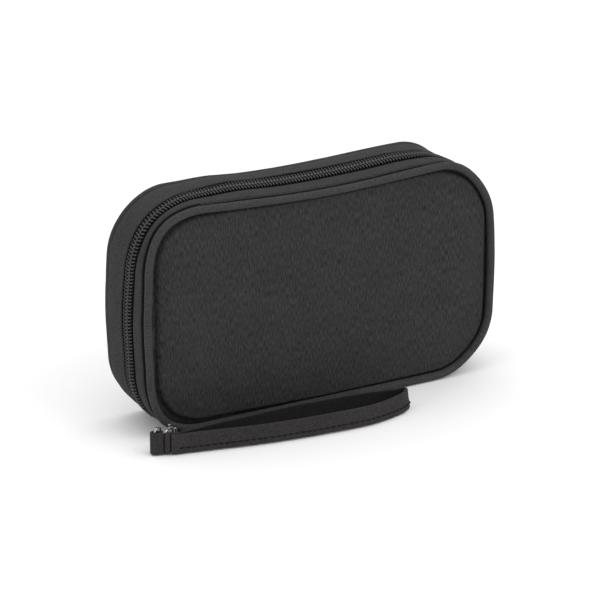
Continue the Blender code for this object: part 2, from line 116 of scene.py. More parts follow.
def grid_object(name, points, u, materials, v=None, wrap_u=False, pick=None):
    """A skin over points[i, j], closed along j. u and v are its UV coordinates in metres.

    v is the length round the first section unless given. pick(i, j) is a face's material.
    """
    if v is None:
        v = running(np.vstack([points[0], points[0][:1]]))
    rows, columns = points.shape[:2]
    faces, uvs, slots = [], [], []
    for i in range(rows if wrap_u else rows - 1):
        for j in range(columns):
            i2, j2 = (i + 1) % rows, (j + 1) % columns
            faces.append((i * columns + j, i2 * columns + j, i2 * columns + j2, i * columns + j2))
            uvs += [(u[i], v[j]), (u[i + 1], v[j]), (u[i + 1], v[j + 1]), (u[i], v[j + 1])]
            slots.append(pick(i, j) if pick else 0)
    if not wrap_u:
        for i in (0, rows - 1):
            faces.append(tuple(i * columns + j for j in range(columns)))
            uvs += [(u[i], v[j]) for j in range(columns)]
            slots.append(slots[0])
    mesh = bpy.data.meshes.new(name)
    mesh.from_pydata(points.reshape(-1, 3).tolist(), [], faces)
    layer = mesh.uv_layers.new(name="cloth")
    layer.data.foreach_set("uv", np.array(uvs, np.float32).ravel())
    mesh.polygons.foreach_set("material_index", slots)
    outward(mesh)
    return new_object(name, mesh, materials)


def running(points):
    """The distance along a line of points, from 0."""
    steps = np.linalg.norm(np.diff(points, axis=0), axis=1)
    return np.concatenate([[0.0], np.cumsum(steps)])


def unit(vectors):
    return vectors / np.linalg.norm(vectors, axis=1)[:, None]


def ahead_of(line):
    """The direction of travel at each point of a line."""
    return unit(np.gradient(line, axis=0))


def sideways(ahead):
    """The directions to the left of these, in plan."""
    return np.stack([-ahead[:, 1], ahead[:, 0]], axis=1)


def smooth_line(points, steps):
    """A Catmull-Rom curve through the points."""
    pts = np.array(points, float)
    pts = np.vstack([2 * pts[0] - pts[1], pts, 2 * pts[-1] - pts[-2]])
    made = []
    for a, b, c, d in zip(pts, pts[1:], pts[2:], pts[3:]):
        for t in np.arange(steps) / steps:
            made.append(0.5 * (2 * b + (c - a) * t + (2 * a - 5 * b + 4 * c - d) * t * t
                               + (3 * b - a - 3 * c + d) * t**3))
    made.append(pts[-2])
    return np.array(made)


def tube(name, path, radius, materials, sides=8, closed=False, flat=1.0, up=(0, 0, 1)):
    """A round bar along the path. radius is one number or one for each point. flat squashes it along up."""
    path = np.array(path, float)
    count = len(path)
    radii = np.broadcast_to(np.asarray(radius, float), (count,))
    ahead = unit(np.roll(path, -1, 0) - np.roll(path, 1, 0)) if closed else ahead_of(path)
    side = unit(np.cross(ahead, np.array(up, float)))
    top = np.cross(side, ahead)
    angles = TAU * np.arange(sides) / sides
    ring = (np.cos(angles)[None, :, None] * side[:, None, :]
            + np.sin(angles)[None, :, None] * top[:, None, :] * flat)
    points = path[:, None, :] + radii[:, None, None] * ring
    u = running(np.vstack([path, path[:1]]))
    v = TAU * float(radii.mean()) * np.arange(sides + 1) / sides
    return grid_object(name, points, u, materials, v, wrap_u=closed)


def shape_object(name, loops, thickness, place, materials, bevel=0.0):
    """A flat shape with holes, given thickness about its own plane, with rounded edges."""
    bm = bmesh.new()
    for loop in loops:
        verts = [bm.verts.new((x, y, -thickness / 2)) for x, y in loop]
        for a, b in zip(verts, verts[1:] + verts[:1]):
            bm.edges.new((a, b))
    bmesh.ops.triangle_fill(bm, use_beauty=True, edges=bm.edges[:])
    raised = bmesh.ops.extrude_face_region(bm, geom=bm.faces[:])
    top = [g for g in raised["geom"] if isinstance(g, bmesh.types.BMVert)]
    bmesh.ops.translate(bm, vec=(0, 0, thickness), verts=top)
    bmesh.ops.recalc_face_normals(bm, faces=bm.faces)
    mesh = bpy.data.meshes.new(name)
    bm.to_mesh(mesh)
    bm.free()
    mesh.transform(place)
    obj = new_object(name, mesh, materials, smooth=False)
    if bevel:
        rounding = obj.modifiers.new("rounding", "BEVEL")
        rounding.width = bevel
        rounding.segments = 3
        rounding.limit_method = "ANGLE"
        rounding.angle_limit = math.radians(40)
        rounding.harden_normals = False
    mesh.shade_smooth()
    return obj


def joined(name, parts):
    """One object from several, which keeps their materials."""
    graph = bpy.context.evaluated_depsgraph_get()
    bm = bmesh.new()
    finishes = []
    for part in parts:
        mesh = bpy.data.meshes.new_from_object(part.evaluated_get(graph), depsgraph=graph)
        mesh.transform(part.matrix_world)
        remap = []
        for finish in mesh.materials:
            if finish not in finishes:
                finishes.append(finish)
            remap.append(finishes.index(finish))
        for face in mesh.polygons:
            face.material_index = remap[face.material_index]
        bm.from_mesh(mesh)
        bpy.data.meshes.remove(mesh)
        bpy.data.objects.remove(part)
    mesh = bpy.data.meshes.new(name)
    bm.to_mesh(mesh)
    bm.free()
    return new_object(name, mesh, finishes)


def frame_matrix(origin, along, up):
    """Local X along the first direction, local Y towards the second, at the origin."""
    x_axis = Vector(along).normalized()
    z_axis = x_axis.cross(Vector(up)).normalized()
    turned = Matrix((x_axis, z_axis.cross(x_axis), z_axis)).transposed().to_4x4()
    turned.translation = Vector(origin)
    return turned


def ripple(points, scale, seed):
    """Smooth noise in -1..1 at each point, with features of the given size."""
    flat = points.reshape(-1, 3) / scale + seed * 7.31
    values = [noise.noise(Vector(p)) for p in flat]
    return np.array(values).reshape(points.shape[:-1])


def arc(cx, cy, rx, ry, start, end, count):
    angles = np.radians(np.linspace(start, end, count))
    return [(cx + rx * math.cos(a), cy + ry * math.sin(a)) for a in angles]


def keep(obj, body, slot, *nodes):
    """The piece rides on a body and stands for these CAD nodes. The slot argument is not used."""
    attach(obj, body)
    if nodes:
        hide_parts(*nodes)
    return obj


# The case's surface


def rim(s):
    """x, z and the outward normal (nx, nz) at the distances s round the rim."""
    s = np.mod(np.asarray(s, float), RIM_LENGTH)
    low, high = CORNER_R, HEIGHT - CORNER_R
    segments = (
        (RUN, (0.0, 0.0), -90, False), (QUARTER, (RUN, low), -90, True),
        (RISE, (HALF_X, low), 0, False), (QUARTER, (RUN, high), 0, True),
        (2 * RUN, (RUN, HEIGHT), 90, False), (QUARTER, (-RUN, high), 90, True),
        (RISE, (-HALF_X, high), 180, False), (QUARTER, (-RUN, low), 180, True),
        (RUN, (-RUN, 0.0), 270, False),
    )
    x, z, nx, nz = (np.zeros_like(s) for _ in range(4))
    at = 0.0
    for length, (px, pz), degrees, curved in segments:
        here = (s >= at) & (s <= at + length)
        along = s[here] - at
        turned = math.radians(degrees) + (along / CORNER_R if curved else 0 * along)
        nx[here], nz[here] = np.cos(turned), np.sin(turned)
        if curved:
            x[here], z[here] = px + CORNER_R * nx[here], pz + CORNER_R * nz[here]
        else:
            x[here], z[here] = px - nz[here] * along, pz + nx[here] * along
        at += length
    return x, z, nx, nz


def bump(value, middle, width):
    return np.exp(-(((value - middle) / width) ** 2))


def end_shape(s, y):
    """How the soft case departs from its outline: fuller end walls, and corners that differ a little."""
    rear = np.clip((y + SEAM_DEPTH / 2) / SEAM_DEPTH, 0, 1)
    s = np.mod(s, RIM_LENGTH)
    right = RUN + QUARTER + RISE / 2
    left = RIM_LENGTH - right
    corner = (RISE + QUARTER) / 2
    made = 0.9 * MM * bump(s, right, 22 * MM)
    made -= 1.2 * MM * bump(s, right - corner - 4 * MM, 15 * MM)
    made -= 1.8 * MM * bump(s, right + corner - 4 * MM, 17 * MM)
    mid_depth = 4 * rear * (1 - rear)
    made -= 1.3 * MM * mid_depth * bump(s, right + corner + 15 * MM, 10 * MM)
    made += 0.6 * MM * mid_depth * bump(s, right + corner - 26 * MM, 9 * MM)
    made += 1.3 * MM * bump(s, left, 20 * MM)
    made += (2.4 - 3.3 * rear) * MM * bump(s, left + corner, 14 * MM)
    made += (2.2 - 2.6 * rear) * MM * bump(s, left - corner, 14 * MM)
    made += 0.3 * MM * rear * bump(s, left - corner - 22 * MM, 10 * MM)
    made += 0.9 * MM * rear * bump(s, left - corner - 45 * MM, 13 * MM)
    return made


def zip_y(s):
    """The zip's depth in the case. It runs nearer the front round the upper left corner."""
    corner = RIM_LENGTH - RUN - QUARTER * 1.5 - RISE
    return ZIP_Y - 3.4 * MM * bump(np.asarray(s, float), corner, 26 * MM)


WALL_Y = np.array([-18.5, -14.0, -8.0, -2.8, 2.4, 9.0, 15.0, 18.5]) * MM
TOP_RISE = np.array([0.0, 0.6, 1.2, 2.1, 2.8, 2.4, 0.8, 0.0]) * MM
LEFT_RISE = np.array([0.0, 0.1, 0.2, 0.5, 0.6, 1.1, 0.9, 0.0]) * MM


def swell(x, nx, nz, y):
    """How far the walls stand out between their seams. The zip's right end and the base stay flat."""
    top = (np.clip(nz, 0, 1) ** 2 * np.clip((78 * MM - x) / (32 * MM), 0, 1)
           * np.clip((x + 80 * MM) / (40 * MM), 0, 1))
    left = np.clip(-nx, 0, 1) ** 2
    return np.interp(y, WALL_Y, TOP_RISE) * top + np.interp(y, WALL_Y, LEFT_RISE) * left


def on_case(s, out, y, swollen=True):
    """Points on the case. s, out and y are arrays that broadcast together."""
    s, out, y = np.broadcast_arrays(np.asarray(s, float), out, y)
    x, z, nx, nz = rim(s)
    out = out + end_shape(s, y) + (swell(x, nx, nz, y) if swollen else 0.0)
    x, z = x + out * nx, z + out * nz
    share = (y + SEAM_DEPTH / 2) / SEAM_DEPTH
    sag = SAG_FRONT + (SAG_REAR - SAG_FRONT) * share
    above = np.clip((z - HEIGHT / 2) / (HEIGHT / 2), 0, None)
    middle = np.cos(math.pi * x / (2 * HALF_X)) ** 2
    z = z - (sag * middle + 0.9 * MM * np.clip(share, 0, 1) * middle**2) * above**2
    return np.stack([x, y, z], axis=-1)


def rim_steps(start, end, step):
    return np.linspace(start, end, max(3, int(round((end - start) / step)) + 1))


def side_y(side, inside):
    return side * (SEAM_DEPTH / 2 - inside)


# Materials


def make_node(tree, kind, inputs=None, **settings):
    made = tree.nodes.new(kind)
    for key, value in settings.items():
        setattr(made, key, value)
    for key, value in (inputs or {}).items():
        if isinstance(value, bpy.types.NodeSocket):
            tree.links.new(value, made.inputs[key])
        else:
            made.inputs[key].default_value = value
    return made


def calc(tree, operation, a, b=0.0):
    return make_node(tree, "ShaderNodeMath", {0: a, 1: b}, operation=operation).outputs[0]


def plain_material(name, roughness, metallic=0.0, **sockets):
    finish = bpy.data.materials.new(name)
    finish.use_nodes = True
    tree = finish.node_tree
    shader = tree.nodes["Principled BSDF"]
    shader.inputs["Roughness"].default_value = roughness
    shader.inputs["Metallic"].default_value = metallic
    for key, value in sockets.items():
        shader.inputs[key.replace("_", " ").capitalize().replace("ior", "IOR")].default_value = value
    return finish, tree, shader


def speckle(tree, vector, scale, detail=2.0):
    inputs = {"Vector": vector, "Scale": scale, "Detail": detail}
    return make_node(tree, "ShaderNodeTexNoise", inputs).outputs["Fac"]


def tinted(tree, shader, value, color, dark, light):
    """Base colour from a dark to a light shade of one colour, as the value goes from 0 to 1."""
    ramp = make_node(tree, "ShaderNodeValToRGB", {0: value})
    for element, shade in zip(ramp.color_ramp.elements, (dark, light)):
        element.color = (*(min(1.0, c * shade) for c in color), 1)
    tree.links.new(ramp.outputs[0], shader.inputs["Base Color"])


def about_half(tree, value, amount):
    return calc(tree, "MULTIPLY", calc(tree, "SUBTRACT", value, 0.5), amount)


def cloth(name, color, pitch, plane=None, streak=0.5, mottle=0.5, weave=0.35, depth=0.08 * MM,
          roughness=0.9, sheen=0.02, rib=1.0):
    """A woven cloth. Its threads follow the UV map, or object space in the plane given by two letters."""
    finish, tree, shader = plain_material(name, roughness)
    shader.inputs["Sheen Weight"].default_value = sheen
    shader.inputs["Sheen Roughness"].default_value = 0.5
    shader.inputs["Specular IOR Level"].default_value = 0.12
    coords = make_node(tree, "ShaderNodeTexCoord")
    source = coords.outputs["Object" if plane else "UV"]
    split = make_node(tree, "ShaderNodeSeparateXYZ", {0: source})
    along, across = (split.outputs[letter] for letter in (plane or "XY"))
    threads = []
    for axis, size in ((along, pitch), (across, pitch * rib)):
        threads.append(calc(tree, "SINE", calc(tree, "MULTIPLY", axis, TAU / size)))
    crossing = calc(tree, "MULTIPLY", *threads)
    stretched = make_node(tree, "ShaderNodeCombineXYZ", {
        0: calc(tree, "MULTIPLY", along, 1 / (0.5 * MM)),
        1: calc(tree, "MULTIPLY", across, 1 / (3.0 * MM)),
    }).outputs[0]
    even = make_node(tree, "ShaderNodeVectorMath", {0: coords.outputs["Object"], 3: 1 / (0.75 * MM)},
                     operation="SCALE").outputs[0]
    slubs = speckle(tree, stretched, 1.0)
    grain = speckle(tree, even, 1.0, 3.0)
    patches = speckle(tree, even, 0.05, 3.0)
    tone = calc(tree, "ADD", about_half(tree, slubs, streak), about_half(tree, grain, mottle))
    tone = calc(tree, "ADD", tone, calc(tree, "MULTIPLY", crossing, 0.5 * weave))
    tone = calc(tree, "ADD", tone, about_half(tree, patches, 0.25))
    tone = calc(tree, "ADD", tone, 0.5)
    tinted(tree, shader, tone, color, 0.3, 1.7)
    height = calc(tree, "ADD", crossing, calc(tree, "MULTIPLY", grain, 1.2))
    bump_node = make_node(tree, "ShaderNodeBump", {"Height": height, "Strength": 0.6, "Distance": depth})
    tree.links.new(bump_node.outputs[0], shader.inputs["Normal"])
    return finish


def metal(name, color, roughness, wear=0.08, coat=0.0, metallic=1.0):
    finish, tree, shader = plain_material(name, roughness, metallic)
    shader.inputs["Coat Weight"].default_value = coat
    coords = make_node(tree, "ShaderNodeTexCoord").outputs["Object"]
    scuffs = speckle(tree, coords, 900.0, 4.0)
    clouds = speckle(tree, coords, 180.0)
    rough = calc(tree, "ADD", calc(tree, "MULTIPLY", clouds, wear * 2), roughness - wear)
    tree.links.new(rough, shader.inputs["Roughness"])
    tinted(tree, shader, scuffs, color, 0.8, 1.15)
    relief = make_node(tree, "ShaderNodeBump", {"Height": scuffs, "Strength": 0.15, "Distance": 0.05 * MM})
    tree.links.new(relief.outputs[0], shader.inputs["Normal"])
    return finish


def nylon(name, color, roughness):
    """Smooth moulded filament, a little uneven."""
    finish, tree, shader = plain_material(name, roughness)
    shader.inputs["Specular IOR Level"].default_value = 0.55
    coords = make_node(tree, "ShaderNodeTexCoord").outputs["Object"]
    clouds = speckle(tree, coords, 700.0)
    tinted(tree, shader, clouds, color, 0.6, 1.5)
    rough = calc(tree, "ADD", calc(tree, "MULTIPLY", clouds, 0.2), roughness - 0.1)
    tree.links.new(rough, shader.inputs["Roughness"])
    return finish


SHELL = cloth("shell_cloth", (0.0305, 0.0305, 0.031), 0.55 * MM, plane="XZ", streak=1.8, mottle=0.45)
WALL = cloth("wall_cloth", (0.034, 0.034, 0.0345), 0.55 * MM, mottle=1.3)
PIPING = cloth("piping_cloth", (0.043, 0.043, 0.044), 0.5 * MM, mottle=1.3)
LINING = cloth("lining_cloth", (0.045, 0.045, 0.047), 0.7 * MM, plane="XZ", roughness=0.75)
WALL_LINING = cloth("wall_lining_cloth", (0.045, 0.045, 0.047), 0.7 * MM, roughness=0.75)
# The zip tape's own near-black cloth, also laid on the walls' rows in the groove by the piping as painted
# shade.
TAPE_AND_GROOVE_SHADE = cloth("zip_tape_and_groove_shade_cloth", (0.008, 0.008, 0.0085), 0.8 * MM, weave=0.6, rib=0.5)
STRAP = cloth("strap_cloth", (0.032, 0.0292, 0.0303), 0.55 * MM, mottle=1.3)
# Near-black cloth for the inner face of the strap's loop: painted shade, darker than the strap's own colour.
STRAP_INNER_PAINTED_SHADE = cloth("strap_inner_painted_shade_cloth", (0.012, 0.0115, 0.012), 0.55 * MM, mottle=1.0)
ELASTIC = cloth("elastic_cloth", (0.022, 0.022, 0.023), 1.0 * MM, weave=0.8, rib=0.6)
NET = cloth("net_cloth", (0.024, 0.024, 0.025), 0.6 * MM, plane="XZ", weave=0.4)
# Near-black thread for the stitches, also laid on the strap keeper's pinched ends as painted shade.
THREAD_AND_KEEPER_SHADE = cloth("thread_and_keeper_shade_cloth", (0.008, 0.008, 0.0085), 0.2 * MM, plane="XZ", weave=0.2, roughness=0.6)
COIL = nylon("coil_nylon", (0.034, 0.034, 0.035), 0.42)
NICKEL = metal("nickel_metal", (0.33, 0.32, 0.31), 0.2)
BLACK_METAL = metal("black_metal", (0.03, 0.03, 0.032), 0.32, coat=0.4, metallic=0.6)


# Stage


def add_stage():
    mesh = bpy.data.meshes.new("floor")
    reach = 3.0
    mesh.from_pydata([(-reach, -reach, 0), (reach, -reach, 0), (reach, reach, 0), (-reach, reach, 0)],
                     [], [(0, 1, 2, 3)])
    finish, _, shader = plain_material("pale_floor", 0.7)
    shader.inputs["Base Color"].default_value = (0.95, 0.95, 0.95, 1)
    shader.inputs["Specular IOR Level"].default_value = 0.2
    floor = new_object("floor", mesh, [finish])
    floor.location.z = -0.0003
    world = bpy.data.worlds.new("studio")
    bpy.context.scene.world = world
    world.use_nodes = True
    world.node_tree.nodes["Background"].inputs[0].default_value = (1, 1, 1, 1)
    world.node_tree.nodes["Background"].inputs[1].default_value = 0.97
    for name, place, size, watts in (
        ("key_light", (0.5, -1.1, 1.15), 0.9, 4.5),
        ("left_light", (-1.3, -0.3, 0.7), 0.8, 1.0),
        ("top_light", (0.1, 0.1, 1.8), 1.4, 6.0),
    ):
        lamp = bpy.data.lights.new(name, "AREA")
        lamp.size = size
        lamp.energy = watts
        obj = bpy.data.objects.new(name, lamp)
        obj.location = place
        obj.rotation_euler = (-Vector(place)).to_track_quat("-Z", "Y").to_euler()
        bpy.context.scene.collection.objects.link(obj)
    view = bpy.context.scene.view_settings
    view.view_transform = "Standard"
    view.look = "None"


CAMERA_AZIMUTH = math.radians(-31.24)
CAMERA_ELEVATION = math.radians(19.38)
CAMERA_DISTANCE = 1.711
CAMERA_LENS_MM = 219.2
CAMERA_TARGET = Vector((0.0, -0.0185, 0.0549))
CAMERA_ASIDE = (-11.4 * MM, -2.7 * MM)


def add_camera():
    data = bpy.data.cameras.new("camera")
    data.lens = CAMERA_LENS_MM
    data.sensor_width = 36
    data.clip_end = 50
    camera = bpy.data.objects.new("camera", data)
    level = math.cos(CAMERA_ELEVATION)
    back = Vector((math.sin(CAMERA_AZIMUTH) * level, -math.cos(CAMERA_AZIMUTH) * level,
                   math.sin(CAMERA_ELEVATION)))
    turned = back.to_track_quat("Z", "Y")
    right, up = turned @ Vector((1, 0, 0)), turned @ Vector((0, 1, 0))
    camera.location = (CAMERA_TARGET + back * CAMERA_DISTANCE
                       + right * CAMERA_ASIDE[0] + up * CAMERA_ASIDE[1])
    camera.rotation_euler = turned.to_euler()
    bpy.context.scene.collection.objects.link(camera)
    bpy.context.scene.camera = camera


# Shell pieces


PIPING_R = 1.85 * MM


def add_piping(word, side):
    """Bias cloth over a cord. It lies flush with the wall and twists a little where it was sewn."""
    s = rim_steps(0.0, RIM_LENGTH, 1.1 * MM)[:-1]
    sides = 18
    turn = TAU * np.arange(sides) / sides
    radius = PIPING_R
    twist = s[:, None] / (7 * MM) + turn[None, :]
    bare = on_case(s[:, None], -radius + 0 * turn[None, :], side_y(side, 0) + 0 * turn[None, :])
    wander = ripple(bare, 16 * MM, 3 + side)
    folds = np.sin(twist + 4 * wander) * ripple(bare, 9 * MM, 11 + side)
    local = radius * (1 + 0.020 * wander) + 0.10 * MM * folds
    out = -radius + local * np.cos(turn)[None, :]
    y = side_y(side, 0) + local * np.sin(turn)[None, :]
    points = on_case(s[:, None], out, y)
    u = np.append(s, RIM_LENGTH)
    v = TAU * radius * np.arange(sides + 1) / sides
    obj = grid_object(f"{word}_piping_cord", points, u, [PIPING], v, wrap_u=True)
    return keep(obj, COVER[word], "piping", f"{word}_piping")


def slot_edge(s):
    """How far the wall's free edge stands from the zip's plane: wide along the zip, narrow at the hinge."""
    blend = 9 * MM
    inside = np.minimum(s - (ZIP_START - 2 * MM), (ZIP_END + 2 * MM) - s) / blend
    share = np.clip(inside + 0.5, 0, 1)
    share = share * share * (3 - 2 * share)
    return 1.5 * MM + (SLOT_HALF - 0.35 * MM - 1.5 * MM) * share


def add_wall(word, side):
    """The side wall: outer cloth whose free edge turns in beside the zip, and its lining inside. Its rows in
    the groove by the piping take the near-black tape cloth as painted shade.
    """
    s = rim_steps(0.0, RIM_LENGTH, 1.3 * MM)[:-1]
    outer = side_y(side, 2.0 * MM)
    edge = zip_y(s) + side * slot_edge(s)
    fold = 0.5 * MM
    at_left = np.clip(-1.5 * rim(s)[2], 0, 1)
    dip = 1.5 * MM + 0.9 * MM * at_left if side < 0 else 0.9 * MM
    rows = []
    for away, depth in ((-0.9, 1.0), (0.2, 1.0), (1.0, 0.95), (1.35, 0.6), (1.6, 0.2), (2.3, 0.03)):
        rows.append((np.full_like(s, outer - side * away * MM), np.full_like(s, -depth * dip)))
    start = outer - side * 2.4 * MM
    for share in (0.15, 0.3, 0.45, 0.6, 0.75, 0.88, 0.96):
        y = start + (edge + side * fold - start) * share
        rows.append((y, np.zeros_like(s)))
    for degrees in (60, 20, -20, -60, -90):
        turned = math.radians(degrees)
        y = edge + side * fold * (1 - math.cos(turned))
        rows.append((y, np.full_like(s, -fold + fold * math.sin(turned))))
    turned_in = len(rows) - 1
    for share in (0.25, 0.6, 0.9, 1.0):
        y = edge + side * fold + (outer - edge) * share * 0.96
        rows.append((y, np.full_like(s, -(2.6 if side < 0 and share > 0.8 else 1.6) * MM)))
    y = np.stack([r[0] for r in rows], axis=1)
    out = np.stack([r[1] for r in rows], axis=1)
    bare = on_case(s[:, None], out, y)
    near_seam = np.clip(1 - np.abs(y - outer) / (5 * MM), 0, 1)
    stretched = bare * np.array([1.0, 0.35, 1.0])
    lifted = np.clip(bare[..., 2] / (8 * MM), 0, 1)
    out = out + ripple(stretched, 6 * MM, 20 + side) * 0.20 * MM * near_seam
    out = out + ripple(bare, 22 * MM, 24 + side) * 0.35 * MM * lifted * (1 - near_seam)
    points = on_case(s[:, None], out, y)
    points[..., 2] = np.maximum(points[..., 2], 0.0)
    last = len(rows) - 1

    # The first rows, in the groove by the piping and one more towards the left end, get the tape cloth as
    # painted shade.
    def finish_at(i, j):
        if turned_in <= j < last:
            return 1
        return 2 if j < 3 + at_left[i] else 0

    obj = grid_object(f"{word}_wall", points, np.append(s, RIM_LENGTH), [WALL, WALL_LINING, TAPE_AND_GROOVE_SHADE],
                      wrap_u=True, pick=finish_at)
    return keep(obj, COVER[word], "shell", f"{word}_gusset")


def add_tape(word, side):
    s = rim_steps(ZIP_START, ZIP_END, 2.0 * MM)
    top, low = -1.32 * MM, -2.0 * MM
    edges = ((0.35, low), (0.25, (top + low) / 2), (0.35, top), (1.5, top), (3.0, top), (4.2, top),
             (6.6, top), (6.8, low), (4.0, low), (2.0, low))
    y = zip_y(s)[:, None] + side * MM * np.array([e[0] for e in edges])[None, :]
    out = np.array([e[1] for e in edges])
    points = on_case(s[:, None], out[None, :], y)
    obj = grid_object(f"{word}_zip_tape", points, s, [TAPE_AND_GROOVE_SHADE])
    return keep(obj, COVER[word], "zipper_tape", f"{word}_zipper_tape")


def add_coil(word, side):
    """One row of teeth: a flattened nylon coil, half a pitch out of step with the other row."""
    per_turn = 12
    turns = int((ZIP_END - ZIP_START) / TOOTH_PITCH) - 1
    turned = TAU * np.arange(turns * per_turn + 1) / per_turn
    phase = 0.0 if side > 0 else 0.5
    s = ZIP_START + TOOTH_PITCH * (0.5 + phase + turned / TAU)
    across = np.sign(np.cos(turned)) * np.abs(np.cos(turned)) ** 0.75
    height = np.sign(np.sin(turned)) * np.abs(np.sin(turned)) ** 0.8
    y = zip_y(s) + side * (1.35 + 1.75 * across) * MM
    path = on_case(s, (-0.35 + 0.60 * height) * MM, y)
    head = np.clip(-np.cos(turned), 0, 1) ** 4
    radius = (0.34 + 0.08 * head) * MM
    ahead = ahead_of(path)
    other = unit(np.cross(ahead, ahead_of(on_case(s, 0.0, zip_y(s)))))
    first = np.cross(other, ahead)
    ring = TAU * np.arange(6) / 6
    circle = np.cos(ring)[None, :, None] * first[:, None] + np.sin(ring)[None, :, None] * other[:, None]
    points = path[:, None] + radius[:, None, None] * circle
    obj = grid_object(f"{word}_zip_teeth", points, running(path), [COIL], 0.35 * MM * np.arange(7))
    return keep(obj, COVER[word], "zipper_coil", f"{word}_zipper_coil")


def add_coil_core(word, side):
    """The dark cord inside the coil."""
    s = rim_steps(ZIP_START + TOOTH_PITCH, ZIP_END - TOOTH_PITCH, 1.5 * MM)
    edges = ((0.35, -0.45), (0.6, -0.2), (1.4, -0.08), (2.3, -0.2), (2.6, -0.45), (2.3, -0.75), (0.6, -0.75))
    y = zip_y(s)[:, None] + side * MM * np.array([e[0] for e in edges])[None, :]
    out = np.array([e[1] for e in edges]) * MM
    points = on_case(s[:, None], out[None, :], y)
    obj = grid_object(f"{word}_zip_cord", points, s, [TAPE_AND_GROOVE_SHADE])
    return keep(obj, COVER[word], "zipper_tape")


def add_tape_stitches(word, side):
    """The thread that sews the coil to its tape, over the middle of the teeth."""
    s = rim_steps(ZIP_START + 2 * MM, ZIP_END - 2 * MM, TOOTH_PITCH / 3)
    wave = 0.10 * np.cos(TAU * s / TOOTH_PITCH + (0 if side > 0 else math.pi))
    path = on_case(s, (0.48 + wave) * MM, zip_y(s) + side * 1.7 * MM)
    obj = tube(f"{word}_zip_thread", path, 0.13 * MM, [THREAD_AND_KEEPER_SHADE], sides=5, up=(0, 1, 0))
    return keep(obj, COVER[word], "zipper_tape")


# The padded panels


PAD_VOXEL = 4.5 * MM
PAD_RISE_CAP = 2.5 * MM
PAD_EDGE = 6.0 * MM
PAD_INSETS = (
    (3.9, 0.6), (4.3, 0.9), (5.1, 1.5), (4.4, 1.4), (4.6, 1.2),
    (5.8, 1.6), (7.8, 2.0), (5.8, 1.5), (3.9, 0.6),
)


def pad_blank(side):
    """The coarse pad that is blown up: a closed slab inside the piping."""
    s = rim_steps(0.0, RIM_LENGTH, 3 * MM)[:-1]
    face, back = side_y(side, 0.2 * MM), side_y(side, 6.2 * MM)
    points = np.stack([on_case(s, -5.0 * MM, y, swollen=False) for y in (back, face)], axis=0)
    count = len(s)
    faces = [(i, (i + 1) % count, count + (i + 1) % count, count + i) for i in range(count)]
    faces += [tuple(range(count)), tuple(range(count, 2 * count))]
    mesh = bpy.data.meshes.new("pad_blank")
    mesh.from_pydata(points.reshape(-1, 3).tolist(), [], faces)
    outward(mesh)
    obj = new_object("pad_blank", mesh, [])
    remesh = obj.modifiers.new("remesh", "REMESH")
    remesh.mode = "VOXEL"
    remesh.voxel_size = PAD_VOXEL
    return applied(obj)


def applied(obj):
    """The object with its modifiers applied."""
    graph = bpy.context.evaluated_depsgraph_get()
    mesh = bpy.data.meshes.new_from_object(obj.evaluated_get(graph), depsgraph=graph)
    obj.modifiers.clear()
    obj.data = mesh
    return obj


def rim_distance(points):
    """How far inside the case's outline each point lies."""
    s = rim_steps(0.0, RIM_LENGTH, 1.5 * MM)
    edge = on_case(s, 0.0, np.zeros_like(s), swollen=False)[:, (0, 2)]
    gaps = np.linalg.norm(points[:, None, (0, 2)] - edge[None, :, :], axis=2)
    return gaps.min(axis=1)


def vertices_of(obj):
    points = np.empty(len(obj.data.vertices) * 3)
    obj.data.vertices.foreach_get("co", points)
    return points.reshape(-1, 3)


def blown_up(side):
    """Cloth simulation of the padded face. Returns each face point's x and z, and how far it rose."""
    obj = pad_blank(side)
    before = vertices_of(obj)
    inside = rim_distance(before)
    back = np.abs(before[:, 1]) < abs(side_y(side, 2.0 * MM))
    held = obj.vertex_groups.new(name="held")
    held.add([int(i) for i in np.nonzero(back | (inside < 8.5 * MM))[0]], 1.0, "REPLACE")
    fabric = obj.modifiers.new("cloth", "CLOTH")
    settings = fabric.settings
    settings.quality = 6
    settings.mass = 0.15
    settings.tension_stiffness = 12
    settings.compression_stiffness = 12
    settings.shear_stiffness = 4
    settings.bending_stiffness = 0.3
    settings.use_pressure = True
    settings.uniform_pressure_force = 4.0
    settings.shrink_min = -0.012
    settings.vertex_group_mass = "held"
    settings.effector_weights.gravity = 0.0
    fabric.point_cache.frame_start = 1
    fabric.point_cache.frame_end = 20
    scene = bpy.context.scene
    for number in range(1, 21):
        scene.frame_set(number)
    applied(obj)
    scene.frame_set(1)
    rise = side * (vertices_of(obj) - before)[:, 1]
    bpy.data.objects.remove(obj)
    return before[~back][:, (0, 2)], PAD_RISE_CAP * np.tanh(rise[~back] / PAD_RISE_CAP)


def sampled(places, values, points, reach):
    """The values at the places, blended smoothly at other points."""
    made = np.zeros(len(points))
    for index in range(0, len(points), 400):
        part = points[index:index + 400]
        gaps = np.linalg.norm(part[:, None] - places[None], axis=2)
        weights = np.exp(-((gaps / reach) ** 2)) + 1e-9
        made[index:index + 400] = (weights * values).sum(1) / weights.sum(1)
    return made


def pad_seam(s):
    """The seam's distance inside the outline and how softly the cloth rises from it, round the rim."""
    corner = RUN + QUARTER / 2
    end = RUN + QUARTER + RISE / 2
    half = RIM_LENGTH / 2
    stops = (0, corner, end, half - corner, half, half + corner,
             RIM_LENGTH - end, RIM_LENGTH - corner, RIM_LENGTH)
    inset = np.interp(s, stops, [p[0] for p in PAD_INSETS]) * MM
    soft = np.interp(s, stops, [p[1] for p in PAD_INSETS]) * MM
    return inset, soft


def pad_profile(inside, inset, soft):
    """The face's depth behind the seam plane, by the distance inside the outline: a seam, then a crown."""
    fall = np.clip((inset + soft - inside) / (soft + 0.4 * MM), 0, 1)
    rolled = 1 - np.sqrt(np.clip(1 - fall**2, 0, 1))
    crown = 1 - (1 - np.clip((inside - inset) / (18 * MM), 0, 1)) ** 2.2
    return 0.5 * MM + 2.8 * MM * rolled - 1.4 * MM * crown


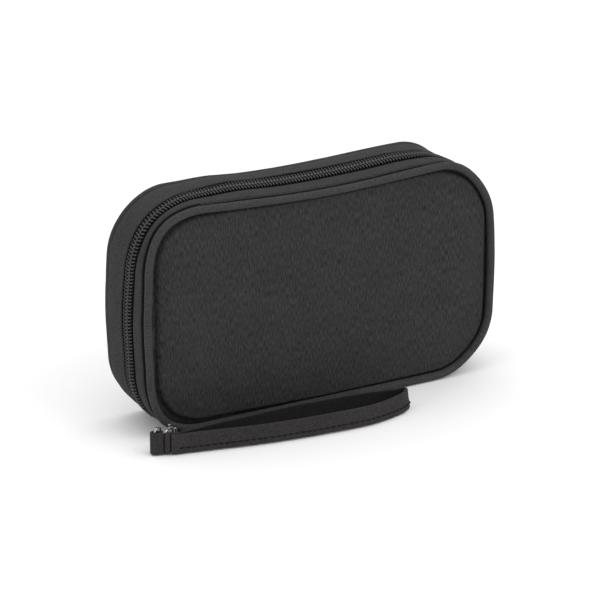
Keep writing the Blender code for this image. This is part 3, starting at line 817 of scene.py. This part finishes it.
def add_panel(word, side):
    """A panel with foam behind it. Its puff comes from a cloth simulation, and its seam puckers a little."""
    quarter = 120
    s = np.concatenate([np.linspace(RIM_LENGTH * k / 4, RIM_LENGTH * (k + 1) / 4, quarter + 1)[:-1]
                        for k in range(4)])
    levels = np.concatenate([np.linspace(0.0, 8.0, 25), np.linspace(8.8, 21.0, 13)]) * MM
    start = 2.9 * MM
    rings, depths = [], []
    for level in levels:
        ring = on_case(s, -start - level, 0.0 * s, swollen=False)
        rings.append(ring)
        depths.append(start + level + 0 * s)
    last = rings[-1]
    center_z = (last[:, 2].max() + last[:, 2].min()) / 2
    spine = last.copy()
    spine[:, 0] = np.clip(last[:, 0], -HALF_X + 60 * MM, HALF_X - 60 * MM)
    spine[:, 2] = center_z
    for share in np.linspace(0, 1, 17)[1:]:
        ring = last * (1 - share) + spine * share
        rings.append(ring)
        depths.append(start + levels[-1] + share * 22 * MM + 0 * s)
    face = np.stack(rings)
    inside = np.stack(depths)
    flat = face[..., (0, 2)].reshape(-1, 2)
    puff = sampled(*blown_up(side), flat, 3.2 * MM)
    puff = puff.reshape(inside.shape) * np.clip((inside - PAD_EDGE) / (6 * MM), 0, 1)
    near_seam = bump(inside, PAD_EDGE + 1.5 * MM, 6 * MM)
    folds = ripple(face, 6.5 * MM, 40 + side)
    puckers = 0.42 * MM * np.clip(folds - 0.15, 0, 1) * near_seam
    drift = ripple(face, 38 * MM, 44 + side) * 0.45 * MM * np.clip((inside - PAD_EDGE) / (20 * MM), 0, 1)
    inset, soft = pad_seam(s)
    depth = pad_profile(inside, inset[None, :], soft[None, :]) + puckers - drift - 0.55 * puff
    face[..., 1] = side_y(side, 0.0) - side * depth
    back = face[::-1].copy()
    back[..., 1] = side_y(side, 3.6 * MM)
    points = np.concatenate([face[::-1], back[::-1]])
    rows, columns = points.shape[:2]
    faces = []
    for i in range(rows - 1):
        for j in range(columns):
            j2 = (j + 1) % columns
            faces.append((i * columns + j, (i + 1) * columns + j, (i + 1) * columns + j2, i * columns + j2))
    bm = bmesh.new()
    verts = [bm.verts.new(p) for p in points.reshape(-1, 3)]
    for corners in faces:
        bm.faces.new([verts[k] for k in corners])
    bmesh.ops.remove_doubles(bm, verts=bm.verts, dist=0.02 * MM)
    bmesh.ops.recalc_face_normals(bm, faces=bm.faces)
    mesh = bpy.data.meshes.new(f"{word}_panel_pad")
    bm.to_mesh(mesh)
    bm.free()
    obj = new_object(f"{word}_panel_pad", mesh, [SHELL])
    keep(obj, COVER[word], "shell", f"{word}_panel", f"{word}_stiffener")
    return obj


# Inside


def add_lining(word, side):
    """The panel's lining, a thin cloth stretched over the foam."""
    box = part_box(f"{word}_lining")
    face = box[1].y if side < 0 else box[0].y
    levels = np.linspace(0, 1, 15)
    s = rim_steps(0.0, RIM_LENGTH, 3.0 * MM)[:-1]
    depth = 24 * MM
    rings = []
    for thickness in (0.5 * MM, 0.0):
        order = levels if thickness else levels[::-1]
        for share in order:
            ring = on_case(s, -LINING_INSET - depth * share, np.full_like(s, face), swollen=False)
            ring[:, 1] += side * thickness
            rings.append(ring)
    points = np.stack(rings)
    puff = ripple(points, 22 * MM, 60 + side) * 0.12 * MM
    points[..., 1] += puff
    obj = grid_cloth(f"{word}_lining_cloth", points, [LINING])
    keep(obj, COVER[word], "lining", f"{word}_lining")
    return obj


def grid_cloth(name, rings, materials):
    """A closed sheet from rings that run from its rim to its middle on one face and back on the other."""
    rows, columns = rings.shape[:2]
    points = rings.reshape(-1, 3).tolist()
    faces = []
    for i in range(rows):
        if i == rows // 2 - 1:
            continue
        i2 = (i + 1) % rows
        for j in range(columns):
            j2 = (j + 1) % columns
            faces.append((i * columns + j, i2 * columns + j, i2 * columns + j2, i * columns + j2))
    for i in (rows // 2 - 1, rows // 2):
        faces.append(tuple(i * columns + j for j in range(columns)))
    mesh = bpy.data.meshes.new(name)
    mesh.from_pydata(points, [], faces)
    outward(mesh)
    return new_object(name, mesh, materials)


def add_inner_binding(word, side):
    """The bound seam allowance that runs round the inside, where the wall meets the lining."""
    s = rim_steps(0.0, RIM_LENGTH, 2.0 * MM)[:-1]
    turn = TAU * np.arange(10) / 10
    out = -3.3 * MM + 0.75 * MM * np.cos(turn)
    y = side_y(side, 6.4 * MM) + side * 2.0 * MM * np.sin(turn)
    points = on_case(s[:, None], out[None, :], y[None, :], swollen=False)
    points += (ripple(points, 9 * MM, 70 + side) * 0.12 * MM)[..., None]
    obj = grid_object(f"{word}_inner_binding", points, np.append(s, RIM_LENGTH), [PIPING], wrap_u=True)
    return keep(obj, COVER[word], "piping")


def pocket_depth(x, z, half, low, high, deep):
    """How far a pocket's cloth stands off its lining."""
    side = np.clip((half - np.abs(x)) / (14 * MM), 0, 1)
    bottom = np.clip((z - low) / (14 * MM), 0, 1)
    ease = np.sin(side * math.pi / 2) * np.sin(bottom * math.pi / 2)
    return deep * (0.55 + 0.45 * np.clip((z - low) / (high - low), 0, 1)) * ease


def pocket_skin(side, box, lift, thickness, step):
    """Points of a pocket's cloth: x and z on a grid, on its outer and then its inner face."""
    low, high = box
    half = high.x
    x = np.linspace(-half, half, int(2 * half / step) + 1)
    z = np.linspace(low.z, high.z, int((high.z - low.z) / step) + 1)
    gx, gz = np.meshgrid(x, z, indexing="ij")
    back = high.y if side > 0 else low.y
    depth = pocket_depth(gx, gz, half, low.z, high.z, lift)
    y = back - side * (0.3 * MM + depth)
    outer = np.stack([gx, y - side * thickness, gz], axis=-1)
    inner = np.stack([gx, y, gz], axis=-1)
    return outer, inner


def add_slip_pocket():
    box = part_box("slip_pocket")
    outer, inner = pocket_skin(1, box, box[1].y - box[0].y - 0.9 * MM, 0.5 * MM, 3.0 * MM)
    wrinkle = ripple(outer, 15 * MM, 81) * 0.35 * MM
    outer[..., 1] -= np.abs(wrinkle)
    inner[..., 1] -= np.abs(wrinkle)
    loops = np.concatenate([outer, inner[:, ::-1]], axis=1)
    obj = grid_object("slip_pocket_cloth", loops, loops[:, 0, 0], [WALL_LINING])
    keep(obj, "rear_shell", "lining", "slip_pocket")
    hem = add_hem("slip_pocket_hem", outer, 1, 7.0 * MM, WALL_LINING)
    keep(hem, "rear_shell", "lining")
    return obj


def add_hem(name, outer, side, tall, finish):
    """The folded edge along a pocket's mouth, with its row of stitches."""
    mouth = outer[:, -1]
    s = running(mouth)
    rows = []
    for dy, dz in ((0.0, 0.25), (-0.45, 0.0), (-0.6, -0.3), (-0.6, -0.9), (-0.45, -1.0), (0.0, -1.0)):
        rows.append(mouth + np.array([0, dy * side * MM, dz * tall]) + np.array([0, 0.1 * side * MM, 0]))
    points = np.stack(rows, axis=1)
    band = grid_object("hem", points, s, [finish])
    line = mouth + np.array([0, -0.62 * side * MM, -0.78 * tall])
    return joined(name, [band, *stitch_row(line, (0, -side, 0), 2.2 * MM)])


def stitch_row(line, normal, length, gap=0.7 * MM, thick=0.22 * MM):
    """Stitches along a line, as one object: short rounded threads that dip at both ends."""
    distance = running(np.array(line))
    normal = np.array(normal, float)
    total = distance[-1]
    step = length + gap
    bodies, at = [], gap
    while at + length < total:
        spots = at + length * np.array([0.0, 0.12, 0.5, 0.88, 1.0])
        path = np.stack([np.interp(spots, distance, np.array(line)[:, k]) for k in range(3)], axis=1)
        path += normal * (thick * np.array([-0.9, 0.15, 0.35, 0.15, -0.9]))[:, None]
        bodies.append(path)
        at += step
    if not bodies:
        return []
    up = normal if abs(normal[2]) < 0.9 else (0, 1, 0)
    bm = bmesh.new()
    for path in bodies:
        ahead = ahead_of(path)
        side = unit(np.cross(ahead, up))
        top = np.cross(side, ahead)
        ring = TAU * np.arange(6) / 6
        rows = [
            [bm.verts.new(p + thick * (math.cos(a) * f + 0.8 * math.sin(a) * t)) for a in ring]
            for p, f, t in zip(path, side, top)
        ]
        for one, two in zip(rows, rows[1:]):
            for i in range(6):
                bm.faces.new((one[i], one[(i + 1) % 6], two[(i + 1) % 6], two[i]))
        bm.faces.new(rows[0][::-1])
        bm.faces.new(rows[-1])
    mesh = bpy.data.meshes.new("stitches")
    bmesh.ops.recalc_face_normals(bm, faces=bm.faces)
    bm.to_mesh(mesh)
    bm.free()
    return [new_object("stitches", mesh, [THREAD_AND_KEEPER_SHADE])]


def add_mesh_pocket():
    """A net pocket: squares of thread with an elastic edge."""
    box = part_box("mesh_pocket")
    outer, _ = pocket_skin(-1, box, box[1].y - box[0].y - 0.9 * MM, 0.3 * MM, 2.4 * MM)
    rows, columns = outer.shape[:2]
    bm = bmesh.new()
    verts = [[bm.verts.new(p) for p in row] for row in outer]
    for i in range(rows - 1):
        for j in range(columns - 1):
            bm.faces.new((verts[i][j], verts[i + 1][j], verts[i + 1][j + 1], verts[i][j + 1]))
    mesh = bpy.data.meshes.new("mesh_pocket_net")
    bm.to_mesh(mesh)
    bm.free()
    obj = new_object("mesh_pocket_net", mesh, [NET])
    wires = obj.modifiers.new("threads", "WIREFRAME")
    wires.thickness = 0.5 * MM
    wires.use_even_offset = False
    applied(obj)
    obj.data.shade_smooth()
    keep(obj, "front_cover", "mesh", "mesh_pocket")
    band = add_mouth_elastic(outer[:, -1])
    keep(band, "front_cover", "elastic", "mesh_pocket_binding")
    return obj


def add_mouth_elastic(mouth):
    """The folded elastic that edges the net's mouth, gathered into small waves."""
    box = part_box("mesh_pocket_binding")
    tall = box[1].z - box[0].z
    s = running(mouth)
    fine = np.linspace(0, s[-1], int(s[-1] / (1.2 * MM)))
    line = np.stack([np.interp(fine, s, mouth[:, k]) for k in range(3)], axis=1)
    wave = 0.25 * MM * np.sin(TAU * fine / (3.4 * MM))
    rows = []
    for dy, dz in ((-0.7, -0.25), (-0.7, 0.35), (-0.5, 0.9), (0.0, 1.0),
                   (0.5, 0.9), (0.7, 0.35), (0.7, -0.25)):
        row = line + np.array([0, dy * MM, dz * tall])
        row[:, 1] += wave
        rows.append(row)
    points = np.stack(rows, axis=1)
    return grid_object("mesh_pocket_elastic", points, fine, [ELASTIC])


LOOP_COUNT = 5
LOOP_PITCH = 28 * MM
LOOP_FLAT = 4 * MM


def add_elastic_loops():
    """A woven elastic, tacked down between its loops."""
    low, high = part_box("elastic_loops")
    back = high.y
    deep = high.y - low.y - 1.1 * MM
    half = high.x
    x, y = [], []
    for index in range(LOOP_COUNT + 1):
        middle = (index - LOOP_COUNT / 2) * LOOP_PITCH
        for spot in (-LOOP_FLAT / 2, 0.0, LOOP_FLAT / 2):
            if abs(middle + spot) <= half + 1e-6:
                x.append(middle + spot)
                y.append(0.0)
        if index < LOOP_COUNT:
            width = LOOP_PITCH / 2 - LOOP_FLAT / 2
            for degrees in range(12, 180, 12):
                turned = math.radians(degrees)
                x.append(middle + LOOP_PITCH / 2 - width * math.cos(turned))
                y.append(deep * math.sin(turned) ** 0.62)
    line = np.stack([np.array(x), back - 0.75 * MM - np.array(y)], axis=1)
    points = ribbon(line, low.z, high.z, 0.55 * MM)
    parts = [grid_object("band", points, running(line), [ELASTIC])]
    for index in range(LOOP_COUNT + 1):
        middle = (index - LOOP_COUNT / 2) * LOOP_PITCH
        z = np.linspace(low.z + 1.5 * MM, high.z - 1.5 * MM, 40)
        tack = np.column_stack([middle + 0.5 * MM * (-1.0) ** np.arange(40),
                                np.full(40, back - 1.42 * MM), z])
        parts.append(tube("tack", tack, 0.16 * MM, [THREAD_AND_KEEPER_SHADE], sides=5, up=(0, 1, 0)))
    obj = joined("elastic_loop_band", parts)
    return keep(obj, "rear_shell", "elastic", "elastic_loops")


def ribbon_section(low, high, half, across):
    """(offset, z) round a flat band that stands on edge, with rounded edges."""
    made = []
    for degrees in (0, 45, 90, 135, 180):
        turned = math.radians(degrees)
        made.append((half * math.cos(turned), high - half + half * math.sin(turned)))
    for z in np.linspace(high - half, low + half, across)[1:-1]:
        made.append((-half, z))
    for degrees in (180, 225, 270, 315, 360):
        turned = math.radians(degrees)
        made.append((half * math.cos(turned), low + half + half * math.sin(turned)))
    for z in np.linspace(low + half, high - half, across)[1:-1]:
        made.append((half, z))
    return made


def ribbon(line, low, high, half):
    """Points of a flat band that stands on edge along a line in plan."""
    across = sideways(ahead_of(line))
    rows = [np.column_stack([line + across * offset, np.full(len(line), z)])
            for offset, z in ribbon_section(low, high, half, 9)]
    return np.stack(rows, axis=1)


def add_spine():
    """The strip of cloth that the two halves turn on, along the base."""
    low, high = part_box("spine_seam")
    x = np.linspace(low.x, high.x, 60)
    rows = []
    edge = 1.9 * MM
    ys = np.linspace(-edge, edge, 13)
    for y in ys:
        rows.append(np.column_stack([x, np.full_like(x, ZIP_Y + y), np.full_like(x, 0.75 * MM)]))
    for y in ys[::-1]:
        rows.append(np.column_stack([x, np.full_like(x, ZIP_Y + y), np.full_like(x, 0.15 * MM)]))
    points = np.stack(rows, axis=1)
    obj = grid_object("spine_strip", points, x, [PIPING])
    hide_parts("spine_seam")
    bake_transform(obj)
    return obj


# Strap


# The strap's middle line in plan, in millimetres, as part.py has it
STRAP_ROUTE = [
    (-80, -41), (-50, -48), (-20, -52), (5, -53), (23, -49), (30, -45), (31, -43), (29, -42),
    (23, -42), (0, -38), (-30, -35), (-55, -35), (-79, -36),
]
STRAP_HALF_THICK = 0.85 * MM
KEEPER_HALF = 2.0 * MM


def strap_frame():
    """The strap's pin, and the directions along and across its keeper, in plan."""
    pin = np.array(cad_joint("strap_turn")["pos_m"][:2])
    along = keeper_center() - pin
    along /= np.linalg.norm(along)
    return pin, along, np.array([-along[1], along[0]])


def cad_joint(name):
    return next(j for j in frame["joints"] if j["name"] == name)


def strap_line():
    """The strap's middle line, from the keeper out to the fold and back."""
    pin, along, across = strap_frame()
    keeper_end = pin + along * (np.linalg.norm(keeper_center() - pin) + KEEPER_HALF)
    apart = across * (STRAP_HALF_THICK + 0.15 * MM)
    near = [keeper_end - apart - along * 0.6 * MM, keeper_end - apart + along * 1.8 * MM]
    far = [keeper_end + apart + along * 1.8 * MM, keeper_end + apart - along * 0.6 * MM]
    route = [np.array(p) * MM for p in STRAP_ROUTE]
    return smooth_line(near + route + far, 14)


def keeper_center():
    return np.array((sum(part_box("strap_keeper"), Vector()) / 2)[:2])


def add_strap():
    """A folded strap on edge, sewn along its lower side. The inside of its loop takes a darker cloth, painted
    shade where the two strands hide each other from the light.
    """
    line = strap_line()
    low, high = 0.1 * MM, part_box("strap_band")[1].z - 0.4 * MM
    across = sideways(ahead_of(line))
    s = running(line)
    seam_z = low + 2.9 * MM
    rows, inner = [], []
    for offset, z in ribbon_section(low, high, STRAP_HALF_THICK, 21):
        groove = 0.22 * MM * math.exp(-(((z - seam_z) / (0.5 * MM)) ** 2))
        plump = 0.12 * MM * math.sin(math.pi * min(1.0, max(0.0, (z - seam_z) / (high - seam_z))))
        # Rows on the face towards the inside of the loop, which take the painted shade cloth.
        inner.append(offset > 0.55 * STRAP_HALF_THICK and low + 1 * MM < z < high - 0.6 * MM)
        if abs(offset) > 0.7 * STRAP_HALF_THICK:
            offset -= math.copysign(groove - plump, offset)
        rows.append(np.column_stack([line + across * offset, np.full(len(line), z)]))
    points = np.stack(rows, axis=1)
    lift = ripple(np.column_stack([s, 0 * s, 0 * s]), 30 * MM, 90) * 0.25 * MM
    lift = lift - lift.min() + 0.9 * MM * bump(s, 0.6 * s[-1], 0.14 * s[-1])
    tall = (points[..., 2] - low) / (high - low)
    points[..., 2] += lift[:, None] * tall
    points[..., 0] -= 1.4 * MM * bump(s, 0.5 * s[-1], 0.04 * s[-1])[:, None] * tall
    crumple = ripple(points, 5 * MM, 91) * 0.10 * MM
    points[..., :2] += across[:, None, :] * crumple[..., None]
    parts = [grid_object("band", points, s, [STRAP, STRAP_INNER_PAINTED_SHADE], pick=lambda i, j: int(inner[j]))]
    for face in (-1, 1):
        shift = across * face * (STRAP_HALF_THICK - 0.12 * MM)
        seam = np.column_stack([line + shift, np.full(len(line), seam_z)])
        parts += seam_stitches(seam[15:-15], across[15:-15] * face)
    obj = joined("strap_ribbon", parts)
    return keep(obj, "strap", "strap", "strap_band")


def seam_stitches(line, normals):
    """Stitches along a curved upright face."""
    distance = running(line)
    parts, at, length, gap = [], 1.0 * MM, 2.0 * MM, 1.1 * MM
    while at + length < distance[-1]:
        spots = at + length * np.array([0.0, 0.15, 0.5, 0.85, 1.0])
        path = np.stack([np.interp(spots, distance, line[:, k]) for k in range(3)], axis=1)
        normal = np.array([np.interp(at, distance, normals[:, k]) for k in range(2)] + [0.0])
        path += normal * (0.2 * MM * np.array([-0.9, 0.1, 0.3, 0.1, -0.9]))[:, None]
        parts.append(tube("stitch", path, 0.34 * MM, [THREAD_AND_KEEPER_SHADE], sides=6))
        at += length + gap
    return parts


def add_strap_keeper():
    """A narrow wrap of strap cloth that holds the two strands together behind the end loop. Its pinched ends
    take the near-black thread cloth, painted shade in the grooves beside the wrap.
    """
    _, along, across = strap_frame()
    middle = keeper_center()
    low, high = 0.1 * MM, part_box("strap_keeper")[1].z
    stations = ((-2.5, 0.50), (-2.3, 0.55), (-1.65, 0.57), (-1.5, 0.93), (-1.2, 1.0), (0.0, 1.0),
                (0.5, 1.0), (0.75, 0.93), (0.95, 0.57), (1.6, 0.55), (2.3, 0.50))
    rows = []
    for share, full in stations:
        center = middle + along * share * MM
        inset = (1 - full) * 0.8 * MM
        ring = []
        for offset, z in ribbon_section(low + inset, high - inset, 2.6 * MM * full, 9):
            squeezed = math.copysign(min(abs(offset), 2.6 * MM * 0.9 * full), offset)
            ring.append([*(center + across * squeezed), z])
        rows.append(ring)
    points = np.array(rows)
    # The pinched rows at both ends get the thread cloth as painted shade.
    full = [p[1] for p in stations]
    obj = grid_object("strap_keeper_wrap", points, np.array([p[0] for p in stations]) * MM,
                      [STRAP, THREAD_AND_KEEPER_SHADE], pick=lambda i, j: int(full[i] + full[i + 1] < 1.6))
    return keep(obj, "strap", "strap", "strap_keeper")


def add_strap_end():
    """The fold of strap round the eye's upright wire."""
    pin, along, across = strap_frame()
    low, high = 0.3 * MM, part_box("strap_end_loop")[1].z
    line = []
    for degrees in range(90, 271, 15):
        turned = math.radians(degrees)
        line.append(pin + 1.75 * MM * (along * math.cos(turned) + across * math.sin(turned)))
    tail = [pin + along * 3.9 * MM + across * 1.0 * MM, pin + along * 2.2 * MM + across * 1.5 * MM]
    line = tail + line
    line += [pin + along * 2.2 * MM - across * 1.5 * MM, pin + along * 3.9 * MM - across * 1.0 * MM]
    line = smooth_line(line, 3)
    points = ribbon(line, low, high, 0.5 * MM)
    obj = grid_object("strap_end_fold", points, running(line), [STRAP])
    return keep(obj, "strap", "strap", "strap_end_loop")


# Metal


def clasp_place():
    pin = Vector(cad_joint("strap_turn")["pos_m"])
    heading = Vector(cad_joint("clasp_swivel")["axis"])
    return frame_matrix(pin, heading, (0, 0, 1))


def in_place(place, points):
    return [tuple(place @ Vector((*p, 0.0))) for p in points]


def wire(name, place, line, radius, finish, closed=False):
    """A round bar bent in the plane of a place."""
    normal = tuple(place.to_3x3() @ Vector((0, 0, 1)))
    return tube(name, line, radius, [finish], sides=12, closed=closed, up=normal)


def add_clasp_eye():
    place = clasp_place()
    half, length, bend = 5.6 * MM, 4.2 * MM, 1.7 * MM
    corners = ((bend, bend - half, 180), (length - bend, bend - half, 270), (length - bend, half - bend, 0),
               (bend, half - bend, 90))
    ring = [point for x, y, start in corners for point in arc(x, y, bend, bend, start, start + 90, 6)]
    stub = [(length + beyond * MM, 0) for beyond in (0, 0.5, 1.2, 1.9)]
    eye = wire("eye", place, in_place(place, ring), 0.65 * MM, NICKEL, closed=True)
    post = wire("post", place, in_place(place, stub), [0.8 * MM, 0.62 * MM, 0.6 * MM, 0.6 * MM], NICKEL)
    obj = joined("clasp_eye_wire", [eye, post])
    return keep(obj, "clasp_eye", "nickel", "clasp_eye")


HOOK_MIDDLE = 11.6 * MM
HOOK_RX, HOOK_RY = 4.25 * MM, 3.05 * MM


def hook_arc(degrees):
    return [(HOOK_MIDDLE + HOOK_RX * math.cos(a), HOOK_RY * math.sin(a)) for a in np.radians(degrees)]


def add_clasp_hook():
    place = clasp_place()
    start = 6.45 * MM
    route = [(start, 0.0), (start + 0.7 * MM, 0.0)] + hook_arc(np.arange(198, 405, 9))
    line = smooth_line(in_place(place, route), 2)
    share = np.linspace(0, 1, len(line))
    radius = (1.15 - 0.45 * share) * MM
    radius[:3] = 1.35 * MM
    hook = wire("hook", place, line, radius, NICKEL)
    spine = hook_arc(np.arange(118, 200, 8))
    back = wire("back", place, in_place(place, spine), np.linspace(0.75, 1.1, len(spine)) * MM, NICKEL)
    obj = joined("clasp_hook_body", [hook, back])
    return keep(obj, "clasp", "nickel", "clasp_hook")


def add_clasp_trigger():
    place = clasp_place()
    gate = wire("gate", place, in_place(place, hook_arc(np.linspace(110, 64, 8))), 0.62 * MM, NICKEL)
    thumb = [(HOOK_MIDDLE + x * MM, HOOK_RY + y * MM) for x, y in ((0.1, 0), (-0.2, 1.1), (-0.7, 1.9))]
    stub = wire("stub", place, in_place(place, thumb), [0.6 * MM, 0.5 * MM, 0.62 * MM], NICKEL)
    obj = joined("clasp_trigger_lever", [gate, stub])
    return keep(obj, "clasp_gate", "nickel", "clasp_trigger")


def add_tab_ring():
    """A wire D-ring: its straight bar lies in the tab and its bow carries the clasp."""
    apex = Vector(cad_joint("clasp_swing")["pos_m"])
    depth, half = 6.8 * MM, 4.4 * MM
    level = math.cos(RING_TILT)
    down = Vector((math.cos(TAB_HEADING) * level, math.sin(TAB_HEADING) * level, math.sin(RING_TILT)))
    bar = apex - down * depth
    across = Vector((-math.sin(TAB_HEADING), math.cos(TAB_HEADING), 0))
    place = frame_matrix(bar, down, across)
    bow = [(0.9 * MM + (depth - 0.9 * MM) * math.cos(a), half * math.sin(a))
           for a in np.radians(np.linspace(90, -90, 19))]
    straight = [(0.0, y) for y in (-half + 0.9 * MM, -half / 2, 0.0, half / 2)]
    ring = in_place(place, [(0.0, half - 0.9 * MM)] + bow + straight)
    obj = wire("tab_ring_wire", place, ring, 0.65 * MM, BLACK_METAL, closed=True)
    keep(obj, "front_cover", "black_metal", "tab_ring")
    return place


def add_corner_tab(place):
    """A folded tab of strap cloth, from under the corner to the ring's bar."""
    back = np.array([-math.cos(TAB_HEADING), -math.sin(TAB_HEADING), 0.0])
    across = np.array([-math.sin(TAB_HEADING), math.cos(TAB_HEADING), 0.0])
    center = np.array(place.translation)
    line = []
    for degrees in range(-40, 281, 16):
        turned = math.radians(degrees)
        line.append(center + 1.55 * MM * (back * math.cos(turned) + np.array([0, 0, 1.0]) * math.sin(turned)))
    low = line[-1]
    end_top = center + back * 11.0 * MM
    end_top[2] = 1.0 * MM
    end_low = end_top.copy()
    end_low[2] = 0.55 * MM
    route = [end_top, (end_top + line[0]) / 2] + line + [(end_low + low) / 2, end_low]
    route = smooth_line(route, 2)
    wide = 2.9 * MM
    rows = []
    thick = np.cross(ahead_of(route), across)
    sides = (-1, -0.5, 0, 0.5, 1)
    for side, up in [(side, -1) for side in sides] + [(side, 1) for side in sides[::-1]]:
        rows.append(route + across * wide * side + thick * 0.3 * MM * up)
    points = np.stack(rows, axis=1)
    points[..., 2] = np.maximum(points[..., 2], 0.05 * MM)
    obj = grid_object("corner_tab_fold", points, running(route), [STRAP])
    return keep(obj, "front_cover", "strap", "corner_tab")


def on_right_end(x, z):
    """A place on the zip at the right end, whose local Z points out along the case."""
    return frame_matrix((x, ZIP_Y, z), (0, 1, 0), (0, 0, 1))


def add_slider():
    """Two plates with a post between them, and the bridge that the pull tab hangs on."""
    low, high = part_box("zipper_slider")
    middle = (low.z + high.z) / 2
    half_long = (high.z - low.z) / 2
    outer_low = HALF_X + 0.35 * MM
    inner_low = low.x
    place_out = on_right_end(outer_low + 0.65 * MM, middle)
    place_in = on_right_end(inner_low + 0.6 * MM, middle)
    wide, neck = 3.85 * MM, 2.6 * MM
    shield = [(-neck, -half_long), (neck, -half_long), (wide, -half_long * 0.35), (wide, half_long * 0.45),
              (neck, half_long * 0.85), (0.9 * MM, half_long),
              (-0.9 * MM, half_long), (-neck, half_long * 0.85),
              (-wide, half_long * 0.45), (-wide, -half_long * 0.35)]
    plates = [shape_object("plate", [shield], 1.2 * MM, place_out, [BLACK_METAL], bevel=0.35 * MM),
              shape_object("plate", [shield], 1.1 * MM, place_in, [BLACK_METAL], bevel=0.3 * MM)]
    neck_place = on_right_end((outer_low + inner_low) / 2, middle + half_long * 0.3)
    post = [(-0.35 * MM, -0.5 * MM), (0.35 * MM, -0.5 * MM), (0.35 * MM, 1.8 * MM), (-0.35 * MM, 1.8 * MM)]
    plates.append(shape_object("post", [post], outer_low - inner_low - 0.4 * MM, neck_place, [BLACK_METAL],
                               bevel=0.1 * MM))
    crest = high.x - 0.5 * MM
    top_face = outer_low + 1.2 * MM
    rise = [(top_face - 0.2 * MM, 3.2 * MM), (crest - 0.5 * MM, 2.7 * MM), (crest, 1.6 * MM)]
    bridge = [(x, middle - away) for x, away in rise] + [(x, middle + away) for x, away in rise[::-1]]
    line = smooth_line([(x, ZIP_Y, z) for x, z in bridge], 4)
    plates.append(tube("bridge", line, 0.55 * MM, [BLACK_METAL], sides=10, up=(0, 1, 0), flat=1.3))
    obj = joined("zip_slider_body", plates)
    return keep(obj, "slider", "black_metal", "zipper_slider")


def add_puller():
    low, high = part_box("zipper_puller")
    x = (low.x + high.x) / 2
    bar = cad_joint("puller_flip")["pos_m"]
    place = on_right_end(x, bar[2])
    drop = bar[2] - low.z
    wide, waist, tip = 2.8 * MM, 2.0 * MM, 3.0 * MM
    half = 0.55 * MM
    outline = [(-wide, half), (-wide, -6.5 * MM), (-waist, -10 * MM), (-waist, -drop + 5.6 * MM)]
    outline += arc(0, -drop + tip, tip, tip, 150, 390, 19)
    outline += [(waist, -drop + 5.6 * MM), (waist, -10 * MM), (wide, -6.5 * MM), (wide, half)]
    window = [(-1.35 * MM, -5.0 * MM), (1.35 * MM, -5.0 * MM), (1.35 * MM, -half), (-1.35 * MM, -half)]
    eyelet = arc(0, -drop + tip, 1.3 * MM, 1.3 * MM, 0, 342, 20)
    obj = shape_object("zip_puller_tab", [outline, window, eyelet], 1.1 * MM, place, [BLACK_METAL],
                       bevel=0.25 * MM)
    return keep(obj, "puller", "black_metal", "zipper_puller")


def main():
    add_camera()
    add_stage()
    for word, side in SIDES.items():
        for add in (add_panel, add_piping, add_wall, add_tape, add_coil, add_coil_core,
                    add_tape_stitches, add_lining, add_inner_binding):
            add(word, side)
    add_spine()
    add_slip_pocket()
    add_mesh_pocket()
    add_elastic_loops()
    add_strap()
    add_strap_keeper()
    add_strap_end()
    add_clasp_eye()
    add_clasp_hook()
    add_clasp_trigger()
    add_corner_tab(add_tab_ring())
    add_slider()
    add_puller()


main()
